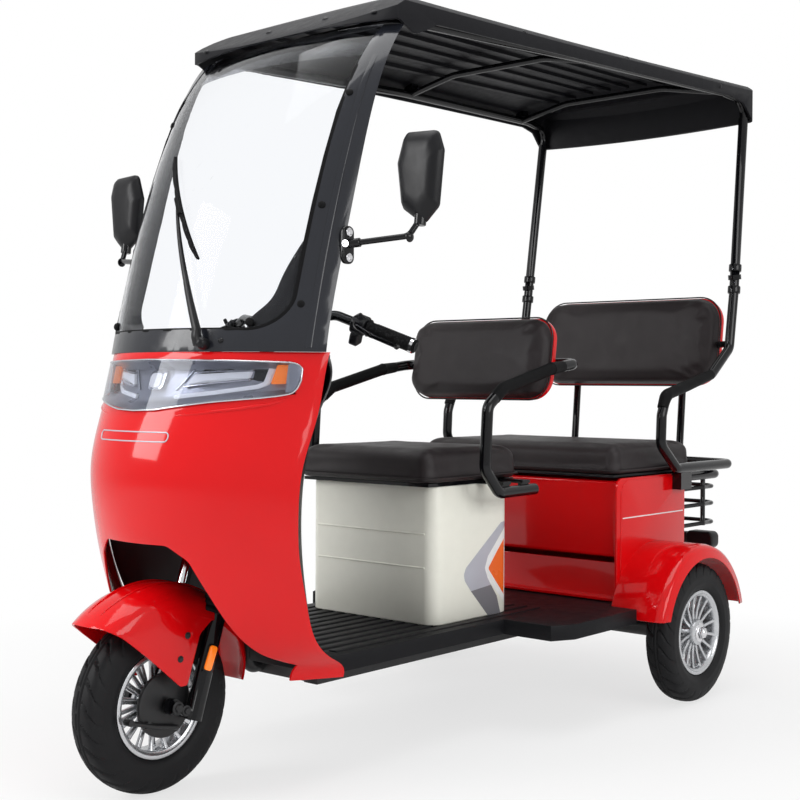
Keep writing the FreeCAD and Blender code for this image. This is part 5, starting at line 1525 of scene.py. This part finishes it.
@dataclass(frozen=True)
class BarrelTrim:
    """Moulded lines and plain coloured films of the ivory seat barrel."""

    half: float = 205.0
    rear: float = -85.0
    corner: float = 34.0
    sunk: float = -0.4
    films: tuple[tuple, ...] = (
        ("white", WHITE_FILM, 0.15,
         ((-82, 505), (8, 424), (20, 396), (8, 368), (-82, 284)),
         ((-84, 500), (-84, 440), (-84, 396), (-84, 350), (-84, 289))),
        ("silver", SILVER_FILM, 0.45,
         ((-47, 505), (96, 404), (104, 388), (100, 372), (76, 345)),
         ((-80, 509), (8, 424), (20, 396), (8, 370), (-6, 352))),
        ("grey", GREY_FILM, 0.45,
         ((76, 345), (40, 310), (6, 277)), ((-6, 352), (-30, 322), (-46, 277))),
        ("border", WHITE_FILM, 0.65,
         ((12, 400), (-30, 446), (-66, 484)), ((12, 388), (-30, 342), (-66, 300))),
        ("orange", ORANGE_FILM, 0.95,
         ((4, 397), (-30, 434), (-60, 464)), ((4, 391), (-30, 354), (-60, 322))))
    line_heights: tuple[float, ...] = (0.494, 0.413)

    def wrapped(self, flat: Array, proud: float) -> Array:
        """Points (x, z) laid on the left side and round its rear corner, in metres.

        Behind the flat side the film follows a quarter circle of the corner's radius.
        """
        x, z = flat[..., 0], flat[..., 1]
        past = np.clip((self.rear + self.corner) - x, 0, self.corner * 0.98)
        side = self.half - self.corner + np.sqrt(self.corner ** 2 - past ** 2)
        return MM * np.stack([x, side + proud, z], -1)

    def band(self, outer: Array, inner: Array, low: float, high: float) -> Skin:
        """Film between two lines of as many points."""
        sides = []
        for line in (outer, inner):
            length = np.linalg.norm(np.diff(np.array(line, float), axis=0), axis=1)
            reach = np.append(0, np.cumsum(length))
            sides.append(followed(line, np.linspace(0, 1, 40), reach / reach[-1]))
        share = np.linspace(0, 1, 8)[None, :, None]
        flat = sides[0][:, None] * (1 - share) + sides[1][:, None] * share
        return sheet(self.wrapped(flat, high), self.wrapped(flat, low))

    def build(self) -> None:
        """Build the films of both sides and the lines of the front."""
        pieces("chassis", *(("barrel_film_" + name,
                             self.band(outer, inner, self.sunk, height).twinned(), finish)
                            for name, finish, height, outer, inner in self.films))
        lines = [tube([(0.2202, -0.176, z), (0.2202, 0.176, z)], 0.0022, 0.01, 12)
                 for z in self.line_heights]
        lines.append(between((-0.08, -0.2, 0.2745), (0.214, 0.2, 0.2795), 0.03, 0.002))
        piece("barrel_lines", joined(lines), IVORY, "chassis")


@dataclass(frozen=True)
class Pad:
    """Upholstered pad that Blender's Cloth swells inside its CAD solid's space."""

    node: str
    body: str
    width: float
    length: float
    depth: float
    corner: float
    edge: float
    lean: float | None = None
    inset: float = 0.0025
    cap: float = 0.006
    voxel: float = 0.006
    pressure: float = 4.0
    frames: int = 20
    held: float = 0.012
    seam_out: float = 0.0045

    def plane(self) -> Plane:
        """Plane of the pad's underside or back, at its middle."""
        low, high = (np.array(value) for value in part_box(self.node))
        middle = (low + high) / 2
        if self.lean is None:
            return Plane((middle[0], middle[1], low[2]), (1, 0, 0), (0, 1, 0))
        tilt = math.radians(self.lean)
        normal = np.array((math.cos(tilt), 0, math.sin(tilt)))
        back = middle - normal * self.depth / 2
        return Plane(tuple(back), (0, 1, 0), (-math.sin(tilt), 0, math.cos(tilt)))

    def block(self) -> Skin:
        """Slightly small block with round edges, before it swells."""
        outline = rounded_outline(self.width - 2 * self.inset, self.length - 2 * self.inset,
                                  self.corner, 8)
        rings = [(inset, height + 0.001) for inset, height
                 in padded_edges(self.depth - self.inset, self.edge, 5)]
        low = [(inset * 0.35, height) for inset, height in rings[:6]]
        return stacked(self.plane(), outline, tuple(low + rings[6:]))

    def heights(self, points: Array) -> Array:
        """Distance of points from the pad's back plane."""
        plane = self.plane()
        normal = np.cross(np.array(plane.right, float), np.array(plane.up, float))
        return (points - np.array(plane.origin)) @ unit(normal)

    def inflate(self, made: Object, start: Array) -> None:
        """Let Cloth's pressure fill the pad while its back is held still."""
        held = made.vertex_groups.new(name="held")
        held.add(np.flatnonzero(self.heights(start) < self.held).tolist(), 1.0, "REPLACE")
        cloth = made.modifiers.new("cloth", "CLOTH")
        cloth.settings.vertex_group_mass = "held"
        cloth.settings.use_pressure = True
        cloth.settings.uniform_pressure_force = self.pressure
        cloth.settings.effector_weights.gravity = 0.0
        cloth.settings.quality = 4
        cloth.point_cache.frame_start = 1
        cloth.point_cache.frame_end = self.frames
        for number in range(1, self.frames + 1):
            bpy.context.scene.frame_set(number)
        applied(made)
        bpy.context.scene.frame_set(1)

    def swell(self, made: Object) -> None:
        """Remesh the block, inflate it by no more than the cap, and soften it."""
        remesh = made.modifiers.new("even", "REMESH")
        remesh.mode = "VOXEL"
        remesh.voxel_size = self.voxel
        applied(made)
        start = mesh_points(made)
        self.inflate(made, start)
        move = mesh_points(made) - start
        reach = np.linalg.norm(move, axis=1, keepdims=True)
        move *= np.minimum(1.0, self.cap / np.maximum(reach, 1e-9))
        made.data.vertices.foreach_set("co", (start + move).ravel())
        smooth = made.modifiers.new("soften", "SMOOTH")
        smooth.factor = 0.5
        smooth.iterations = 6
        finer = made.modifiers.new("finer", "SUBSURF")
        finer.levels = finer.render_levels = 1
        applied(made)

    def seam(self) -> Skin:
        """Welted seam that runs round the pad's side, near its back."""
        plane = self.plane()
        width, length = (size - 2 * self.inset + self.seam_out
                         for size in (self.width, self.length))
        edge = rounded_outline(width, length, self.corner, 10)
        path = plane.place(edge, np.full(len(edge), self.held))
        return sweep(np.vstack([path, path[:1]]), ring(8, 0.0021))

    def build(self) -> None:
        """Build the pad and its seam."""
        made = self.block().object(self.node + "_pad", 180)
        self.swell(made)
        made.data.polygons.foreach_set("use_smooth", [True] * len(made.data.polygons))
        adopt(made, SEAT_HIDE, self.body, (self.node,))
        piece(self.node + "_seam", self.seam(), SEAT_HIDE, self.body)


@dataclass(frozen=True)
class SeatTrim:
    """Soft sleeves of the armrests and ring collars of the roof posts."""

    front_arm: tuple[Point, ...] = ((0.0905, 0.285, 0.8185), (0.058, 0.285, 0.842),
                                    (-0.15, 0.285, 0.893), (-0.2, 0.285, 0.899))
    rear_arm: tuple[Point, ...] = ((-0.835, 0.372, 0.883), (-0.7, 0.372, 0.852),
                                   (-0.58, 0.372, 0.826), (-0.560, 0.372, 0.790))
    post_foot: Point = (-0.978, 0.372, 1.131)
    post_head: Point = (-1.049, 0.363, 1.655)
    collar_heights: tuple[float, ...] = (1.201, 1.136)
    collar: tuple[tuple[float, float], ...] = (
        (0.0138, -0.011), (0.0178, -0.0105), (0.0185, -0.008), (0.0185, 0.008),
        (0.0178, 0.0105), (0.0138, 0.011))

    def sleeves(self, path: tuple[Point, ...], radius: float) -> Skin:
        """Soft sleeve that swells towards its outer end, on both sides."""
        line = rounded_path(np.array(path), 0.034, 12)
        share = np.linspace(0, 1, len(line))
        size = 1 + 0.1 * np.exp(-((share - 0.78) / 0.2) ** 2)
        size[[0, -1]] = 0.94
        return sweep(line, ring(24, radius), size).twinned()

    def collars(self) -> Skin:
        """Double ring collars of the roof posts."""
        foot, head = np.array(self.post_foot), np.array(self.post_head)
        skins = []
        for height in self.collar_heights:
            x, y, _ = foot + (head - foot) * (height - foot[2]) / (head[2] - foot[2])
            skins += [revolved(self.collar, (x, side * y, height), 28, True,
                               (-0.134, -0.017 * side, 0.99)) for side in (-1, 1)]
        return joined(skins)

    def build(self) -> None:
        """Build the trim of both seats."""
        piece("front_arm_sleeves", self.sleeves(self.front_arm, 0.0155), GRIP_RUBBER,
              "front_seat")
        pieces("chassis",
               ("rear_arm_sleeves", self.sleeves(self.rear_arm, 0.0155), GRIP_RUBBER),
               ("roof_post_collars", self.collars(), TUBE_PAINT))


@dataclass(frozen=True)
class RearTrim:
    """Side plates and stripes of the rear box, nuts of the axle, and rear lamps."""

    half: float = 0.338
    front: float = -0.402
    rear: float = -0.746
    low: float = 0.284
    high: float = 0.598
    axle: tuple[float, float] = (-0.58, 0.187)
    lamp_side: float = 0.28
    lamp_height: float = 0.391
    plate_corners: tuple[float, float] = (0.012, 0.042)
    stripe: tuple[float, float] = (0.4955, 0.4985)

    def plates(self) -> Skin:
        """Slightly raised side plates with one large rounded corner."""
        corners = np.array([(self.rear, self.low, 0), (self.front, self.low, 0),
                            (self.front, self.high, 0), (self.rear, self.high, 0)])
        small, large = self.plate_corners
        outline = rounded_path(corners, small, 4, closed=True)[:, :2]
        big = rounded_path(corners, large, 9, closed=True)[:, :2]
        turned = np.vstack([outline[:8], big[18:27], outline[12:]])
        plane = Plane((0, self.half - 0.0004, 0), (-1, 0, 0), (0, 0, 1))
        return stacked(plane, turned * (-1, 1), padded_edges(0.0022, 0.001, 3)).twinned()

    def stripes(self) -> Skin:
        """Plain thin line along each side plate."""
        low = (self.rear + 0.01, self.half + 0.0012, self.stripe[0])
        high = (self.front - 0.008, self.half + 0.0023, self.stripe[1])
        return between(low, high, 0.0004, 0.0002).twinned()

    def nuts(self) -> Skin:
        """Bright capped nuts on the ends of the rear axle."""
        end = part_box("rear_axle")[1][1]
        x, z = self.axle
        skins = []
        for side in (-1, 1):
            out = (0, side, 0)
            skins.append(bolt((x, side * (end - 0.018), z), out, 0.0165, 0.017))
            skins.append(dome((x, side * (end - 0.002), z), out, 0.011, 0.006))
        return joined(skins)

    def lamp(self, side: float, back: float, size: Point, thick: float, rim: float) -> Skin:
        """Block of a tail lamp that faces to the rear.

        Args:
            side: -1 for the right lamp, 1 for the left one.
            back: forward place of its back.
            size: width, height and corner radius.
            thick: thickness.
            rim: radius of the rims.

        Returns:
            The block.
        """
        plane = Plane((back, side * self.lamp_side, self.lamp_height), (0, -1, 0), (0, 0, 1))
        return slab(plane, size, thick, rim)

    def lenses(self) -> Skin:
        """Ribbed lenses of both tail lamps."""
        skins = []
        for side in (-1, 1):
            skins.append(self.lamp(side, -0.9872, (0.078, 0.04, 0.012), 0.0118, 0.005))
            for y in side * self.lamp_side + np.linspace(-0.03, 0.03, 11):
                skins.append(tube([(-0.9985, y, 0.378), (-0.9985, y, 0.404)], 0.0011, 0.01, 8, 2))
        return joined(skins)

    def build(self) -> None:
        """Build the trim."""
        bezels = joined([self.lamp(side, -0.943, (0.088, 0.05, 0.016), 0.046, 0.006)
                         for side in (-1, 1)])
        pieces("chassis",
               ("box_side_plates", self.plates(), RED_PAINT),
               ("box_side_stripes", self.stripes(), WHITE_FILM),
               ("rear_axle_nuts", self.nuts(), CHROME),
               ("tail_lamp_bezels", bezels, DARK_PLASTIC, "tail_lamps"),
               ("tail_lamp_lenses", self.lenses(), TAIL_RED))


ASSEMBLIES = (
    PlainNodes(),
    Wheel("front", "front_wheel"),
    Wheel("rear_left", "rear_wheel_left"),
    Wheel("rear_right", "rear_wheel_right"),
    FrontEnd(), Lamps(), NoseTrim(), Screen(), Mirrors(), RoofTrim(), Controls(), BarrelTrim(),
    Pad("front_cushion", "front_seat", 0.380, 0.440, 0.078, 0.034, 0.026),
    Pad("rear_cushion", "rear_seat_lid", 0.428, 0.676, 0.078, 0.034, 0.026),
    Pad("front_backrest", "front_seat", 0.458, 0.220, 0.048, 0.058, 0.019, 8.0),
    Pad("rear_backrest", "chassis", 0.634, 0.272, 0.048, 0.074, 0.019, 8.0),
    SeatTrim(), RearTrim(),
)


# Studio

@dataclass(frozen=True)
class Studio:
    """Floor, backdrop, lights and camera."""

    camera_at: Point = (2.66563, 2.19110, 0.85268)
    yaw: float = -139.292
    pitch: float = -0.560
    roll: float = 0.288
    lens: float = 59.88
    sensor: float = 36.0
    shift: tuple[float, float] = (0.00377, -0.0040)
    floor_size: float = 60.0
    floor_fade: tuple[float, float] = (1.0, 2.0)
    floor_glow: float = 0.7
    glossy_share: float = 0.42
    ambient: float = 0.5
    boxes: tuple[tuple[str, Point, Point, tuple[float, float], float], ...] = (
        ("top_box", (0.3, 0.2, 4.2), (0, 0, 0.6), (3.4, 3.0), 95.0),
        ("front_box", (3.6, -1.6, 2.3), (0.5, 0, 0.7), (1.6, 2.2), 85.0),
        ("side_box", (0.6, 4.4, 2.2), (0, 0, 0.6), (3.0, 1.8), 68.0))

    def camera(self) -> None:
        """Set the camera where the photograph was taken from."""
        yaw, pitch, roll = (math.radians(a) for a in (self.yaw, self.pitch, self.roll))
        ahead = Vector((math.cos(pitch) * math.cos(yaw), math.cos(pitch) * math.sin(yaw),
                        math.sin(pitch)))
        right = ahead.cross(Vector((0, 0, 1))).normalized()
        up = right.cross(ahead)
        side = right * math.cos(roll) + up * math.sin(roll)
        top = up * math.cos(roll) - right * math.sin(roll)
        data = bpy.data.cameras.new("camera")
        data.lens = self.lens
        data.sensor_width = self.sensor
        data.shift_x, data.shift_y = self.shift
        data.clip_end = 200.0
        made = placed("camera", data)
        turn = Matrix((side, top, -ahead)).transposed().to_4x4()
        made.matrix_world = Matrix.Translation(self.camera_at) @ turn
        bpy.context.scene.camera = made

    def light(self, name: str, place: Point, aim: Point, size: tuple[float, float],
              power: float) -> None:
        """Hang one soft box."""
        data = bpy.data.lights.new(name, "AREA")
        data.shape = "RECTANGLE"
        data.size, data.size_y = size
        data.energy = power
        made = placed(name, data)
        made.location = place
        made.rotation_euler = (Vector(aim) - Vector(place)).to_track_quat("-Z", "Y").to_euler()

    def seen_white(self, graph: Graph) -> object:
        """Light Path value that is one where the camera sees past or through the object."""
        path = graph.add("LightPath")
        seen = graph.math("MAXIMUM", path.outputs["Is Camera Ray"],
                          path.outputs["Is Transmission Ray"])
        glossy = graph.math("MULTIPLY", path.outputs["Is Glossy Ray"], self.glossy_share)
        return graph.math("MAXIMUM", seen, glossy)

    def world(self) -> None:
        """Light the object evenly and show white behind it."""
        world = bpy.data.worlds.new("studio")
        bpy.context.scene.world = world
        world.use_nodes = True
        graph = Graph(world.node_tree)
        background = world.node_tree.nodes["Background"]
        background.inputs["Color"].default_value = (1, 1, 1, 1)
        strength = graph.add("MapRange", Value=self.seen_white(graph), To_Min=self.ambient)
        world.node_tree.links.new(strength.outputs[0], background.inputs["Strength"])

    def floor(self) -> None:
        """Lay the pale floor."""
        half = self.floor_size / 2
        corners = np.array([[(-half, -half, 0), (-half, half, 0)],
                            [(half, -half, 0), (half, half, 0)]], float)
        made = grid(corners).flipped().object("studio_floor")
        material = bpy.data.materials.new("studio_floor")
        material.use_nodes = True
        graph = Graph(material.node_tree)
        shader = material.node_tree.nodes["Principled BSDF"]
        shader.inputs["Base Color"].default_value = (0.8, 0.8, 0.8, 1)
        shader.inputs["Roughness"].default_value = 0.6
        shader.inputs["Specular IOR Level"].default_value = 0.2
        glow = graph.add("Emission", Color=(1, 1, 1, 1), Strength=1.0)
        place = graph.add("TexCoord").outputs["Object"]
        distance = graph.add("VectorMath", {"operation": "LENGTH"}, i0=place).outputs["Value"]
        near, far = self.floor_fade
        fade = graph.add("MapRange", Value=distance, From_Min=near, From_Max=far,
                         To_Min=self.floor_glow)
        share = graph.math("MULTIPLY", self.seen_white(graph), fade.outputs[0])
        mix = graph.add("MixShader", i0=share, i1=shader.outputs[0], i2=glow.outputs[0])
        output = material.node_tree.nodes["Material Output"]
        material.node_tree.links.new(mix.outputs[0], output.inputs["Surface"])
        made.data.materials.append(material)

    def build(self) -> None:
        """Set up the whole studio."""
        bpy.context.scene.view_settings.view_transform = "Standard"
        self.camera()
        self.world()
        self.floor()
        for box in self.boxes:
            self.light(*box)


def main() -> None:
    """Build every sub-assembly in order."""
    Studio().build()
    for assembly in ASSEMBLIES:
        assembly.build()


if __name__ == "__main__":
    main()
